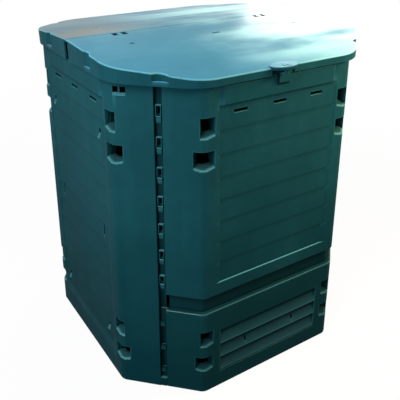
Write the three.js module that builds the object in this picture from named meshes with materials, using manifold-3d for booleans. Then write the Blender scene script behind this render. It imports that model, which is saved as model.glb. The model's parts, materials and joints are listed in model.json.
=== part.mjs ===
// Compost bin with a two-part lid: four hooked wall panels, two lift-out hatches,
// a crossbar that carries both lid halves, and a turn latch at the front and rear edge.
// Millimetres, +Z up, front towards -Y, origin on the ground in the middle of the bin.
import * as THREE from 'three';
import * as BufferGeometryUtils from 'three/addons/utils/BufferGeometryUtils.js';
import Module from 'manifold-3d';

const wasm = await Module();
wasm.setup();

// Body: an eight-sided shell whose faces all lean inwards alike
const bodyHalfWidth = 370;
const bodyCornerProjection = 42;
const bodyCornerReach = bodyHalfWidth + bodyCornerProjection;
const leanShare = 0.034;
const wallThickness = 8;
const fitGap = 0.3;
const overrun = 2;

// Lid: two halves that meet over the middle of the bin, measured down from the seam
const lidSeamHeight = 860;
const lidEdgeDrop = 30;
const skirtDrop = 48;
const lidEdgeHeight = lidSeamHeight - lidEdgeDrop;
const skirtFoot = lidSeamHeight - skirtDrop;
const lidOverhang = 9.6;
const lidCornerOverhang = 15.6;
const lidHalfWidth = faceReach(bodyHalfWidth, skirtFoot, -lidOverhang);
const lidCornerReach = faceReach(bodyCornerReach, skirtFoot, -lidCornerOverhang);
const lidCornerRadius = 100;
const lidSeamSlopeShare = 0.035;
const lidThickness = 4;
const skirtThickness = 3.5;
const skirtEndMargin = 10;
const lidSides = 8;
const lidProfileSteps = 8;
const lidArcSegments = 6;

// Hatch at the foot of the front and rear wall, and the wall above it
const hatchFoot = 2;
const hatchLedgeHeight = 251;
const hatchTravel = 40;
const hatchHeadroom = 7;
const upperWallFoot = hatchLedgeHeight + hatchTravel + hatchHeadroom;
const hatchWebInset = 12.5;
const hatchWebThickness = 4;
const hatchWebOverlap = 44;
const hatchLedgeThickness = 8;
const hatchWebEndMargin = 18;

// Crossbar and hinges, with the places of the hinges as insets from the bar's ends
const crossbarDrop = 35;
const crossbarTop = lidSeamHeight - crossbarDrop;
const crossbarReach = faceReach(bodyHalfWidth, crossbarTop, wallThickness + fitGap);
const crossbarHalfWidth = 34;
const crossbarHeight = 28;
const crossbarWall = 5;
const crossbarEndInset = 2;
const crossbarTabHeight = 12.5;
const pinRadius = 3;
const pinHeadRadius = 5;
const pinHeadThickness = 2;
const lugRadius = 6;
const lugWidth = 8;
const postBackShare = 0.8;
const knuckleWebReach = 18;
const knuckleWidth = 15;
const knuckleClearance = 0.6;
const lugClearance = 3;
const wideHingeInset = 110;
const narrowHingeInset = 144;
const wideHingePlace = crossbarReach - wideHingeInset;
const narrowHingePlace = crossbarReach - narrowHingeInset;
const frontHinge = { y: -16, depth: 7, seam: 1.8, left: -wideHingePlace, right: narrowHingePlace };
const rearHinge = { y: 24, depth: 11, seam: 3, left: -narrowHingePlace, right: wideHingePlace };

// Corner joint: overlapping flanges in a channel, held by a column of clips
const jointShift = 3;
const channelHalfWidth = 9;
const returnThickness = 4;
const outerFlange = { inset: 10, thickness: 4 };
const innerFlange = { inset: 14.3, thickness: 4 };
const flangeEndMargin = 2;
const clipHead = { width: 13, height: 26, inset: 3, rim: 3, recess: 4 };
const clipTab = { width: 11, height: 16, bulge: 5, foot: 3, foothold: 0.75, kneeShare: 0.65, toeShare: 0.15 };
const clipShank = { width: 8, height: 18 };
const clipBarb = { reach: 3, thickness: 3 };
const clipDrop = 43;
const clipPitch = 70;
const clipTop = skirtFoot - clipDrop;
const clipRun = clipTop - clipHead.height - clipTab.height - upperWallFoot;
const clipCount = 1 + Math.floor(clipRun / clipPitch);

// Hooks of the hatch in the eyes of the side walls
const hatchHook = {
  drop: 41, pitch: 75, height: 12, shankHeight: 8, barbDrop: 6, barbGap: 2.2, sideGap: 3, riseGap: 4,
};
const hatchHookCount = 3;

// Vents at every fold of the walls, as drops below the lid's skirt or the hatch's ledge
const vent = {
  hole: 18, depth: 20, backWidthShare: 0.72, backMargin: 2, lipDrop: 28, lipRise: 1.5, housingWall: 4,
};
const topVent = { drop: 74, width: 38, shift: 10 };
const shoulderVent = { drop: 148, width: 52, shift: 2 };
const hatchVent = { drop: 65, width: 38, shift: 9 };
const footVent = { drop: 145, width: 50, shift: 2 };

// Relief of the flat faces, with end margins from the folds at the lid's skirt
const flatHalfWidth = foldReach(skirtFoot, 0);
const rimBand = { endMargin: 43.2, drop: 3, height: 44, proud: 3 };
const rimBandTop = skirtFoot - rimBand.drop;
const rimBandFoot = rimBandTop - rimBand.height;
const panel = { endMargin: 41.2, footMargin: 34, sideFoot: 96, depth: 3, backing: 2 };
const panelHalfWidth = flatHalfWidth - panel.endMargin;
const panelFoot = upperWallFoot + panel.footMargin;
const board = { pitch: 54.2, depth: 1.2 };
const rimSlot = { spacing: 107, width: 36, height: 7, drop: 63 };
const sideEye = { endMargin: 22, width: 9, height: 11, drop: 128, lowLevel: 137 };
const eyeLip = { height: 10, proud: 4 };
const sideSlit = { endMargin: 28, width: 5, height: 30, level: 425 };
const rimOpening = { start: 65, width: 12, gap: 4, height: 13, drop: 22 };

// Louvres of the hatch
const louvre = {
  foot: 55, pitch: 43, rise: 30, depth: 6, proud: 1, ledge: 4, chamfer: 1, backing: 3,
};
const louvreCount = 3;

// Latches on the lid edges and their catches on the rim bands
const latchOffset = -4;
const latchOverhang = 6.5;
const latchReach = lidHalfWidth + latchOverhang;
const ear = { halfLength: 37, halfDepth: 21, inset: 2, rise: 3.5, thickness: 8 };
const earTop = lidEdgeHeight + ear.rise;
const earArcSegments = 14;
const latchHead = { radius: 9, thickness: 2.5, slotLength: 14, slotWidth: 2.4, slotDepth: 1.2 };
const latchShank = { radius: 4.5, clearance: 0.5 };
const latchToe = { length: 14.5, width: 8, height: 5, drop: 7.5, collar: 1 };
const latchToeTop = earTop - ear.thickness - latchToe.drop;
const skirtNotch = { start: -37, end: 25 };
const catchPlate = {
  start: -15, end: 19, drop: 18, headroom: 1, collarGap: 1, windowEnd: 7, windowMargin: 1.5,
};
const catchFoot = skirtFoot - catchPlate.drop;
const catchReach = latchReach - latchShank.radius - latchToe.collar - catchPlate.collarGap;
const catchPeg = { width: 8, height: 6, spacing: 20 };
const roundSegments = 16;

// Scallops along the lid edge
const scallop = { radius: 24, wall: 2.5, ledgeDrop: 8, faceBite: 5.5, cornerBite: 8 };
const scallopSegments = 28;
const faceScallopOffset = 116;
const cornerScallopOffset = 14;
const scallopPlaces = [
  { turn: -1, along: faceScallopOffset },
  { turn: 1, along: -faceScallopOffset },
  { turn: -0.5, along: cornerScallopOffset },
  { turn: 0.5, along: -cornerScallopOffset },
];

const up = new THREE.Vector3(0, 0, 1);
const front = 0;
const right = 1;
const rear = 2;
const left = 3;
const quarterTurn = Math.PI / 2;
const eighthTurn = Math.PI / 4;

// Turns a closed geometry into a solid that can be joined and cut
function toSolid(geometry) {
  const bare = geometry.clone();
  bare.deleteAttribute('normal');
  bare.deleteAttribute('uv');
  const merged = BufferGeometryUtils.mergeVertices(bare);
  const mesh = new wasm.Mesh({
    numProp: 3,
    vertProperties: new Float32Array(merged.getAttribute('position').array),
    triVerts: new Uint32Array(merged.getIndex().array),
  });
  return new wasm.Manifold(mesh);
}

// Turns a solid back into a geometry with flat faces
function toGeometry(solid) {
  const mesh = solid.getMesh();
  const geometry = new THREE.BufferGeometry();
  geometry.setAttribute('position', new THREE.BufferAttribute(mesh.vertProperties, mesh.numProp));
  geometry.setIndex(new THREE.BufferAttribute(mesh.triVerts, 1));
  geometry.computeVertexNormals();
  return geometry;
}

// A solid under a matrix; used for turned copies of a piece
function turned(solid, quarterTurns) {
  const matrix = new THREE.Matrix4().makeRotationZ(quarterTurns * quarterTurn);
  return toSolid(toGeometry(solid).applyMatrix4(matrix));
}

function joined(solids) {
  return solids.reduce((whole, solid) => whole.add(solid));
}

function block(low, high) {
  const size = new THREE.Vector3().subVectors(high, low);
  const middle = new THREE.Vector3().addVectors(low, high).divideScalar(2);
  return toSolid(new THREE.BoxGeometry(size.x, size.y, size.z).translate(middle.x, middle.y, middle.z));
}

function point(x, y, z) {
  return new THREE.Vector3(x, y, z);
}

// A prism whose outline lies in the plane of two axes, centred along the third
function prism(outline, width, origin, across, upwards) {
  const shape = new THREE.Shape(outline.map(([u, v]) => new THREE.Vector2(u, v)));
  const geometry = new THREE.ExtrudeGeometry(shape, { depth: width, bevelEnabled: false });
  const along = new THREE.Vector3().crossVectors(across, upwards);
  const matrix = new THREE.Matrix4().makeBasis(across, upwards, along).setPosition(origin);
  return toSolid(geometry.translate(0, 0, -width / 2).applyMatrix4(matrix));
}

// A round bar between two heights or along X
function rod(radius, length, middle, axis, segments = roundSegments) {
  const geometry = new THREE.CylinderGeometry(radius, radius, length, segments);
  const turn = new THREE.Quaternion().setFromUnitVectors(point(0, 1, 0), axis);
  return toSolid(geometry.applyQuaternion(turn).translate(middle.x, middle.y, middle.z));
}

// Distance of a leaning face from the middle of the bin
function faceReach(groundReach, height, inset) {
  return groundReach - leanShare * height - inset;
}

// Where the flat face meets the corner face, as a distance along the flat face
function foldReach(height, inset) {
  const flat = faceReach(bodyHalfWidth, height, inset);
  return faceReach(bodyCornerReach, height, inset) * Math.SQRT2 - flat;
}

// The eight corners of the body's outline at one height
function bodyRing(height, inset) {
  const flat = faceReach(bodyHalfWidth, height, inset);
  const fold = foldReach(height, inset);
  const quarter = [point(fold, -flat, height), point(flat, -fold, height)];
  return [front, right, rear, left].flatMap((turn) =>
    quarter.map((corner) => corner.clone().applyAxisAngle(up, turn * quarterTurn)));
}

// The closed solid between two rings of eight corners
function frustum(inset, foot, top) {
  const lower = bodyRing(foot, inset);
  const upper = bodyRing(top, inset);
  const positions = [];
  const face = (...corners) => corners.forEach((corner) => positions.push(...corner.toArray()));
  const count = lower.length;
  for (let i = 0; i < count; i += 1) {
    const next = (i + 1) % count;
    face(lower[i], lower[next], upper[next]);
    face(lower[i], upper[next], upper[i]);
  }
  for (let i = 1; i < count - 1; i += 1) {
    face(lower[0], lower[i + 1], lower[i]);
    face(upper[0], upper[i], upper[i + 1]);
  }
  const geometry = new THREE.BufferGeometry();
  geometry.setAttribute('position', new THREE.Float32BufferAttribute(positions, 3));
  return toSolid(geometry);
}

// A leaning eight-sided tube between two insets from the outer face
function shell(outerInset, innerInset, foot, top) {
  const hollow = frustum(innerInset, foot - overrun, top + overrun);
  return frustum(outerInset, foot, top).subtract(hollow);
}

// The quarter of the plan that faces one way, its sides on the corner diagonals
function quarterOf(turn, margin) {
  const apex = margin * Math.SQRT2;
  const far = bodyHalfWidth + bodyCornerReach;
  const outline = [[0, -apex], [far, -apex - far], [-far, -apex - far]];
  const top = lidSeamHeight + overrun;
  const middle = point(0, 0, top / 2);
  const wedge = prism(outline, top + 2 * overrun, middle, point(1, 0, 0), point(0, 1, 0));
  return turned(wedge, turn);
}

// The strip beside the corner joints between two margins from the diagonals
function strip(turn, nearMargin, farMargin) {
  return quarterOf(turn, nearMargin).subtract(quarterOf(turn, farMargin));
}

// Height of the lid's upper face over the distance from the seam
function lidHeight(distance) {
  const slope = lidSeamSlopeShare * distance;
  const curve = lidSeamHeight - lidEdgeHeight - lidSeamSlopeShare * lidHalfWidth;
  return lidSeamHeight - slope - curve * (distance / lidHalfWidth) ** 2;
}

// Everything below the lid's upper face, lowered by a drop
function underLid(drop, halfLength) {
  const reach = lidHalfWidth + overrun;
  const outline = [[-reach, -overrun], [reach, -overrun]];
  for (let i = lidProfileSteps; i >= -lidProfileSteps; i -= 1) {
    const y = (reach * i) / lidProfileSteps;
    outline.push([y, lidHeight(Math.abs(y)) - drop]);
  }
  return prism(outline, 2 * halfLength, point(0, 0, 0), point(0, 1, 0), up);
}

// The lid's rounded eight-sided outline as an upright solid
function lidPlan(inset, foot, top) {
  const radius = lidCornerRadius - inset;
  const shape = new THREE.Shape();
  for (let i = 0; i < lidSides; i += 1) {
    const flatFirst = i % 2 === 0;
    const first = (flatFirst ? lidHalfWidth : lidCornerReach) - inset - radius;
    const second = (flatFirst ? lidCornerReach : lidHalfWidth) - inset - radius;
    const start = i * eighthTurn;
    const sideways = (second - first * Math.cos(eighthTurn)) / Math.sin(eighthTurn);
    const x = first * Math.cos(start) - sideways * Math.sin(start);
    const y = first * Math.sin(start) + sideways * Math.cos(start);
    shape.absarc(x, y, radius, start, start + eighthTurn, false);
  }
  shape.closePath();
  const settings = { depth: top - foot, bevelEnabled: false, curveSegments: lidArcSegments };
  return toSolid(new THREE.ExtrudeGeometry(shape, settings).translate(0, 0, foot));
}

// A point on the outer face where the flat face of one side folds into its corner face
function foldPoint(turn, hand, height, shift) {
  const flat = faceReach(bodyHalfWidth, height, 0);
  const spot = point(hand * (foldReach(height, 0) - shift), -flat, height);
  return spot.applyAxisAngle(up, turn * quarterTurn);
}

// The outward direction half way between the flat face and its corner face
function foldNormal(turn, hand) {
  return point(0, -1, 0).applyAxisAngle(up, turn * quarterTurn + (hand * eighthTurn) / 2);
}

// The housing of a vent behind the wall and the pocket with its hole and sloping lip
function ventParts(turn, hand, { height, width, shift }) {
  const origin = foldPoint(turn, hand, height, shift);
  const outward = foldNormal(turn, hand);
  const { hole, depth, backWidthShare, backMargin, lipDrop, lipRise, housingWall } = vent;
  const half = hole / 2;
  const back = -depth - housingWall;
  const skin = -wallThickness / 2;
  const housing = [
    [skin, half + housingWall],
    [back, half + housingWall],
    [back, -half - housingWall],
    [skin, -half - lipDrop],
  ];
  const pocket = [
    [depth, half],
    [-depth, half],
    [-depth, -half],
    [lipRise, -half - lipDrop],
    [depth, -half - lipDrop],
  ];
  const bore = [
    [overrun - depth, half - backMargin],
    [back - overrun, half - backMargin],
    [back - overrun, backMargin - half],
    [overrun - depth, backMargin - half],
  ];
  return {
    housing: prism(housing, width + 2 * housingWall, origin, outward, up),
    pocket: prism(pocket, width, origin, outward, up)
      .add(prism(bore, width * backWidthShare, origin, outward, up)),
  };
}

// The places of vents, counted down from a level
function ventsBelow(level, ...vents) {
  return vents.map(({ drop, width, shift }) => ({ height: level - drop, width, shift }));
}

// Adds the vents at both folds of one side
function withVents(body, turn, vents) {
  const parts = vents.flatMap((place) => [-1, 1].map((hand) => ventParts(turn, hand, place)));
  const inside = frustum(wallThickness / 2, -overrun, lidSeamHeight);
  const housed = parts.reduce((whole, part) => whole.add(part.housing.intersect(inside)), body);
  return parts.reduce((whole, part) => whole.subtract(part.pocket), housed);
}

// A block on the flat face of one side, from one depth to another behind the outer face
function faceBlock(turn, [start, end], [foot, top], [outerInset, innerInset]) {
  const nearReach = faceReach(bodyHalfWidth, top, innerInset);
  const farReach = faceReach(bodyHalfWidth, foot, outerInset);
  const slab = block(point(start, -farReach - overrun, foot), point(end, -nearReach + overrun, top));
  const skin = shell(outerInset, innerInset, foot - overrun, top + overrun);
  return turned(slab.intersect(skin), turn);
}

// The slots through the rim below the lid
function rimSlots(turn) {
  const { spacing, width, height, drop } = rimSlot;
  const level = skirtFoot - drop;
  const depth = [-rimBand.proud - overrun, wallThickness + overrun];
  return joined([-spacing, 0, spacing].map((x) =>
    faceBlock(turn, [x - width / 2, x + width / 2], [level - height / 2, level + height / 2], depth)));
}

// The sunken field of a flat face, in boards that each overhang the one below
function sunkenField(turn, foot) {
  const outward = point(0, -1, 0).applyAxisAngle(up, turn * quarterTurn);
  const place = outward.clone().multiplyScalar(bodyHalfWidth);
  const count = Math.ceil((rimBandFoot - foot) / board.pitch);
  return joined(Array.from({ length: count }, (_, i) => {
    const high = rimBandFoot - i * board.pitch;
    const low = Math.max(high - board.pitch, foot);
    const lowDepth = i === count - 1 ? panel.depth : board.depth;
    const outline = [
      [overrun, low],
      [overrun, high],
      [-leanShare * high - panel.depth, high],
      [-leanShare * low - lowDepth, low],
    ];
    return prism(outline, 2 * panelHalfWidth, place, outward, up);
  }));
}

// One wall panel before its own details: the plate with the sunken field and the rim band
function wallPlate(turn, margin, foot, fieldFoot) {
  const plate = shell(0, wallThickness, foot, lidSeamHeight).intersect(quarterOf(turn, margin));
  const bandHalf = flatHalfWidth - rimBand.endMargin;
  const band = faceBlock(turn, [-bandHalf, bandHalf], [rimBandFoot, rimBandTop],
    [-rimBand.proud, wallThickness / 2]);
  const backing = faceBlock(turn, [-panelHalfWidth - panel.depth, panelHalfWidth + panel.depth],
    [fieldFoot - panel.depth, rimBandFoot + panel.depth],
    [wallThickness - overrun, wallThickness + panel.backing]);
  return plate.add(backing).subtract(sunkenField(turn, fieldFoot)).add(band).subtract(rimSlots(turn));
}

// The joint edges of a panel: a return beside the channel and the flange inside it
function jointEdge(turn, margin, farMargin, flange, foot, top) {
  const back = flange.inset + flange.thickness;
  const edge = shell(0, back, foot, top).intersect(strip(turn, margin, margin + returnThickness));
  const tongue = shell(flange.inset, back, foot, top)
    .intersect(strip(turn, farMargin, margin + returnThickness));
  return edge.add(tongue);
}

// The frame of a corner joint: a point on the outer corner face and its directions
function jointFrame(turn, hand, height) {
  const outward = point(0, -1, 0).applyAxisAngle(up, turn * quarterTurn + hand * eighthTurn);
  const along = new THREE.Vector3().crossVectors(outward, up).multiplyScalar(hand);
  const reach = faceReach(bodyCornerReach, height, 0);
  const origin = outward.clone().multiplyScalar(reach).addScaledVector(along, jointShift);
  return { outward, along, origin: origin.setZ(height) };
}

// A block in the channel of a corner joint, between insets, following the lean
function jointBlock(turn, hand, width, [foot, top], [outerInset, innerInset]) {
  const { outward, origin } = jointFrame(turn, hand, 0);
  const lean = (height, inset) => -leanShare * height - inset;
  const outline = [
    [lean(foot, outerInset), foot],
    [lean(top, outerInset), top],
    [lean(top, innerInset), top],
    [lean(foot, innerInset), foot],
  ];
  return prism(outline, width, origin, outward, up);
}

// The tops of the clips from the highest down
function clipTops() {
  return Array.from({ length: clipCount }, (_, i) => clipTop - i * clipPitch);
}

// The eyes through both flanges of one joint
function clipEyes(turn, hand) {
  const { width, height } = clipShank;
  const depth = [outerFlange.inset - overrun, innerFlange.inset + innerFlange.thickness + overrun];
  return joined(clipTops().map((top) => {
    const middle = top - clipHead.height / 2;
    const span = [middle - height / 2 - fitGap, middle + height / 2 + fitGap];
    return jointBlock(turn, hand, width + 2 * fitGap, span, depth);
  }));
}

// One clip: a framed head with a rounded tab below, a shank and a barb behind the flanges
function clip(turn, hand, top) {
  const { width, height, inset, rim, recess } = clipHead;
  const seat = outerFlange.inset - fitGap;
  const back = innerFlange.inset + innerFlange.thickness + fitGap;
  const foot = top - height;
  const head = jointBlock(turn, hand, width, [foot, top], [inset, seat]);
  const hollow = jointBlock(turn, hand, width - 2 * rim, [foot + rim, top - rim],
    [inset - overrun, inset + recess]);
  const middle = top - height / 2;
  const span = [middle - clipShank.height / 2, middle + clipShank.height / 2];
  const shank = jointBlock(turn, hand, clipShank.width, span,
    [inset + recess + overrun / 2, back + clipBarb.thickness]);
  const barb = jointBlock(turn, hand, clipShank.width,
    [span[0] - clipBarb.reach, span[1] + clipBarb.reach], [back, back + clipBarb.thickness]);
  return joined([head.subtract(hollow), shank, barb, clipTongue(turn, hand, foot)]);
}

// The rounded tab that hangs below a clip's head
function clipTongue(turn, hand, head) {
  const { outward, origin } = jointFrame(turn, hand, 0);
  const { width, height, bulge, foot, foothold, kneeShare, toeShare } = clipTab;
  const seat = -leanShare * head - outerFlange.inset + fitGap;
  const low = head - height;
  const lowSeat = seat + leanShare * height;
  const outline = [
    [seat, head + overrun / 2],
    [seat + bulge, head + overrun / 2],
    [seat + bulge, low + height * kneeShare],
    [lowSeat + foot, low + height * toeShare],
    [lowSeat + foothold, low],
    [lowSeat, low],
  ];
  return prism(outline, width, origin, outward, up);
}

// The tops of the hatch's hooks from the highest down
function hatchHookTops() {
  const top = hatchLedgeHeight - hatchHook.drop;
  return Array.from({ length: hatchHookCount }, (_, i) => top - i * hatchHook.pitch);
}

// The hooks on the hatch's flange that hang in the eyes of the side wall
function hatchHooks(turn, hand) {
  const { height, shankHeight, barbDrop, barbGap } = hatchHook;
  const { width, inset } = clipHead;
  const behind = innerFlange.inset + innerFlange.thickness + barbGap;
  return joined(hatchHookTops().map((top) => {
    const foot = top - height;
    const head = jointBlock(turn, hand, width, [foot, top], [inset, outerFlange.inset + overrun / 2]);
    const span = [top - height / 2 - shankHeight / 2, top - height / 2 + shankHeight / 2];
    const shank = jointBlock(turn, hand, clipShank.width, span,
      [inset + overrun, behind + clipBarb.thickness]);
    const barb = jointBlock(turn, hand, clipShank.width, [span[0] - barbDrop, span[1]],
      [behind, behind + clipBarb.thickness]);
    return joined([head, shank, barb]);
  }));
}

// The tall eyes in the side wall's flange that let the hatch hooks rise
function hatchEyes(turn, hand) {
  const { height, shankHeight, sideGap, riseGap } = hatchHook;
  const depth = [outerFlange.inset - overrun, innerFlange.inset + innerFlange.thickness + overrun];
  return joined(hatchHookTops().map((top) => {
    const foot = top - height / 2 - shankHeight / 2 - fitGap;
    const rise = foot + shankHeight + hatchTravel + riseGap;
    return jointBlock(turn, hand, clipShank.width + 2 * sideGap, [foot, rise], depth);
  }));
}

// A wall panel above a hatch
function hatchedWall(turn) {
  const margin = jointShift + channelHalfWidth;
  const farMargin = jointShift - channelHalfWidth + flangeEndMargin;
  const plate = wallPlate(turn, margin, upperWallFoot, panelFoot);
  const edges = jointEdge(turn, margin, farMargin, outerFlange, upperWallFoot, lidSeamHeight);
  const body = withVents(plate.add(edges), turn, ventsBelow(skirtFoot, topVent, shoulderVent));
  const eyes = [-1, 1].map((hand) => clipEyes(turn, hand));
  return body.subtract(joined(eyes)).intersect(underLid(lidThickness + fitGap, bodyCornerReach));
}

// The front wall, with holes for the catch's pegs
function frontWall() {
  return hatchedWall(front).subtract(catchPegs(fitGap));
}

// The sloping louvres of a hatch with the field that they stand in
function louvreParts(turn) {
  const { foot, pitch, rise, depth, proud, ledge, chamfer, backing: thickening } = louvre;
  const halfWidth = panelHalfWidth;
  const top = foot + pitch * louvreCount;
  const field = faceBlock(turn, [-halfWidth, halfWidth], [foot - ledge, top], [-overrun, depth]);
  const backing = faceBlock(turn, [-halfWidth - ledge, halfWidth + ledge], [foot - 2 * ledge, top + ledge],
    [wallThickness - overrun, wallThickness + thickening]);
  const outward = point(0, -1, 0).applyAxisAngle(up, turn * quarterTurn);
  const slats = Array.from({ length: louvreCount }, (_, i) => {
    const low = foot + i * pitch;
    const face = -leanShare * low;
    const outline = [
      [face - depth - overrun, low],
      [face + proud, low],
      [face + proud - chamfer, low + ledge],
      [face - depth - leanShare * rise, low + rise],
      [face - depth - overrun, low + rise],
    ];
    return prism(outline, 2 * halfWidth, outward.clone().multiplyScalar(bodyHalfWidth), outward, up);
  });
  return { field, backing, slats: joined(slats) };
}

// A hatch: the panel at the foot of the front or rear wall, with its raised web
function hatch(turn) {
  const margin = jointShift + channelHalfWidth;
  const farMargin = jointShift - channelHalfWidth + flangeEndMargin;
  const webBack = hatchWebInset + hatchWebThickness;
  const plate = shell(0, wallThickness, hatchFoot, hatchLedgeHeight).intersect(quarterOf(turn, margin));
  const ledge = shell(0, webBack, hatchLedgeHeight - hatchLedgeThickness, hatchLedgeHeight)
    .intersect(quarterOf(turn, margin));
  const webTop = upperWallFoot + hatchWebOverlap;
  const web = shell(hatchWebInset, webBack, hatchLedgeHeight - hatchLedgeThickness, webTop)
    .intersect(quarterOf(turn, hatchWebEndMargin));
  const edges = jointEdge(turn, margin, farMargin, outerFlange, hatchFoot, hatchLedgeHeight);
  const { field, backing, slats } = louvreParts(turn);
  const relief = joined([plate, ledge, web, edges, backing]).subtract(field).add(slats);
  const hooks = [-1, 1].map((hand) => hatchHooks(turn, hand));
  return withVents(relief, turn, ventsBelow(hatchLedgeHeight, hatchVent, footVent)).add(joined(hooks));
}

// The small hook eyes and slits of a side wall, and their lips
function sideEyes(turn) {
  const { endMargin, width, height, drop, lowLevel } = sideEye;
  const spread = panelHalfWidth - endMargin;
  const through = [-overrun, wallThickness + panel.depth + overrun];
  const places = [skirtFoot - drop, lowLevel].flatMap((level) =>
    [-spread, spread].map((x) => ({ x, level })));
  const eyes = places.map(({ x, level }) =>
    faceBlock(turn, [x - width / 2, x + width / 2], [level - height / 2, level + height / 2], through));
  const lips = places.map(({ x, level }) => {
    const top = level - height / 2;
    return faceBlock(turn, [x - width / 2, x + width / 2], [top - eyeLip.height, top],
      [panel.depth - eyeLip.proud, wallThickness / 2]);
  });
  const slits = [-1, 1].map((hand) => {
    const x = hand * (panelHalfWidth - sideSlit.endMargin);
    const half = { width: sideSlit.width / 2, height: sideSlit.height / 2 };
    return faceBlock(turn, [x - half.width, x + half.width],
      [sideSlit.level - half.height, sideSlit.level + half.height], through);
  });
  return { holes: joined([...eyes, ...slits]), lips: joined(lips) };
}

// The paired openings just under the lid on a side wall's corner faces
function rimOpenings(turn) {
  const { start, width, gap, height, drop } = rimOpening;
  const foot = skirtFoot - drop;
  return joined([-1, 1].flatMap((hand) => {
    const { outward, along, origin } = jointFrame(turn, hand, foot);
    return [start, start + width + gap].map((distance) => {
      const middle = distance + width / 2 - jointShift;
      const place = origin.clone().addScaledVector(along, middle);
      const behind = -wallThickness - overrun;
      const outline = [[overrun, 0], [overrun, height], [behind, height], [behind, 0]];
      return prism(outline, width, place, outward, up);
    });
  }));
}

// Side wall: runs from the ground to the lid and carries the crossbar in a notch
function sideWall(turn) {
  const margin = channelHalfWidth - jointShift;
  const farMargin = -channelHalfWidth - jointShift + flangeEndMargin;
  const plate = wallPlate(turn, margin, 0, panel.sideFoot);
  const edges = jointEdge(turn, margin, farMargin, innerFlange, 0, lidSeamHeight);
  const { holes, lips } = sideEyes(turn);
  const vents = [
    ...ventsBelow(skirtFoot, topVent, shoulderVent),
    ...ventsBelow(hatchLedgeHeight, hatchVent, footVent),
  ];
  const body = withVents(plate.add(edges).add(lips), turn, vents);
  const frontHand = turn === left ? -1 : 1;
  const joints = [{ side: front, hand: frontHand }, { side: rear, hand: -frontHand }];
  const eyes = joints.flatMap(({ side, hand }) => [clipEyes(side, hand), hatchEyes(side, hand)]);
  const reach = bodyHalfWidth + overrun;
  const notchHalf = crossbarHalfWidth + fitGap;
  const notch = block(point(-reach, -notchHalf, crossbarTop - crossbarTabHeight - fitGap),
    point(reach, notchHalf, lidSeamHeight + overrun));
  return body.subtract(holes).subtract(rimOpenings(turn)).subtract(joined(eyes)).subtract(notch)
    .intersect(underLid(lidThickness + fitGap, bodyCornerReach));
}

// The pivot line of a lid half
function hingeAxis(hinge) {
  return { y: hinge.y, z: lidHeight(hinge.seam) - hinge.depth };
}

// The fixed lugs of one hinge with the post that carries them
function hingeLugs(hinge, x) {
  const { y, z } = hingeAxis(hinge);
  const offset = knuckleWidth / 2 + knuckleClearance + lugWidth / 2;
  return joined([-offset, offset].map((shift) => {
    const disc = rod(lugRadius, lugWidth, point(x + shift, y, z), point(1, 0, 0));
    const away = Math.sign(hinge.y);
    const [inner, outer] = [y - away * lugRadius * postBackShare, y + away * lugRadius].sort((a, b) => a - b);
    const post = block(point(x + shift - lugWidth / 2, inner, crossbarTop - overrun / 2),
      point(x + shift + lugWidth / 2, outer, z));
    return disc.add(post);
  }));
}

function pinBore(hinge, x, clearance) {
  const { y, z } = hingeAxis(hinge);
  const length = knuckleWidth + 2 * (lugWidth + knuckleClearance) + 2 * overrun;
  return rod(pinRadius + clearance, length, point(x, y, z), point(1, 0, 0));
}

// The crossbar: an upturned channel between the side walls with the lugs of all hinges
function crossbar() {
  const reach = faceReach(bodyHalfWidth, crossbarTop, crossbarEndInset);
  const foot = crossbarTop - crossbarHeight;
  const bar = block(point(-crossbarReach, -crossbarHalfWidth, foot),
    point(crossbarReach, crossbarHalfWidth, crossbarTop));
  const tabs = block(point(-reach, -crossbarHalfWidth, crossbarTop - crossbarTabHeight),
    point(reach, crossbarHalfWidth, crossbarTop));
  const innerHalf = crossbarHalfWidth - crossbarWall;
  const innerReach = crossbarReach - crossbarWall;
  const hollow = block(point(-innerReach, -innerHalf, foot - overrun),
    point(innerReach, innerHalf, crossbarTop - crossbarWall));
  const hinges = [frontHinge, rearHinge].flatMap((hinge) =>
    [hinge.left, hinge.right].map((x) => ({ hinge, x })));
  const lugs = joined(hinges.map(({ hinge, x }) => hingeLugs(hinge, x)));
  const bores = joined(hinges.map(({ hinge, x }) => pinBore(hinge, x, fitGap)));
  return bar.add(tabs).subtract(hollow).add(lugs).subtract(bores);
}

// A hinge pin with a head at its outer end
function hingePin(hinge, x) {
  const { y, z } = hingeAxis(hinge);
  const reach = knuckleWidth / 2 + knuckleClearance + lugWidth;
  const side = Math.sign(x);
  const length = 2 * reach + fitGap + pinHeadThickness;
  const middle = x + (side * (fitGap + pinHeadThickness)) / 2;
  const shaft = rod(pinRadius, length, point(middle, y, z), point(1, 0, 0));
  const headPlace = x + side * (reach + fitGap + pinHeadThickness / 2);
  return shaft.add(rod(pinHeadRadius, pinHeadThickness, point(headPlace, y, z), point(1, 0, 0)));
}

// The lid's own knuckles with the webs that carry them
function lidKnuckles(hinge, away) {
  const { y, z } = hingeAxis(hinge);
  const roof = lidHeight(Math.abs(y)) - lidThickness / 2;
  return joined([hinge.left, hinge.right].map((x) => {
    const barrel = rod(lugRadius, knuckleWidth, point(x, y, z), point(1, 0, 0));
    const outline = [
      [y, z - lugRadius],
      [y + away * knuckleWebReach, roof - lidThickness],
      [y + away * knuckleWebReach, roof],
      [y - away * lugRadius, roof],
      [y - away * lugRadius, z],
    ];
    const web = prism(outline, knuckleWidth, point(x, 0, 0), point(0, 1, 0), up);
    return barrel.add(web);
  }));
}

// The notches above the fixed lugs, open to the seam
function lugNotches(hinge) {
  const { y, z } = hingeAxis(hinge);
  const offset = knuckleWidth / 2 + knuckleClearance + lugWidth / 2;
  const half = lugWidth / 2 + lugClearance;
  const places = [hinge.left, hinge.right].flatMap((x) => [x - offset, x + offset]);
  const back = y - lugRadius - lugClearance;
  return joined(places.map((x) =>
    block(point(x - half, back, z - lugRadius), point(x + half, hinge.seam, lidSeamHeight + overrun))));
}

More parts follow.
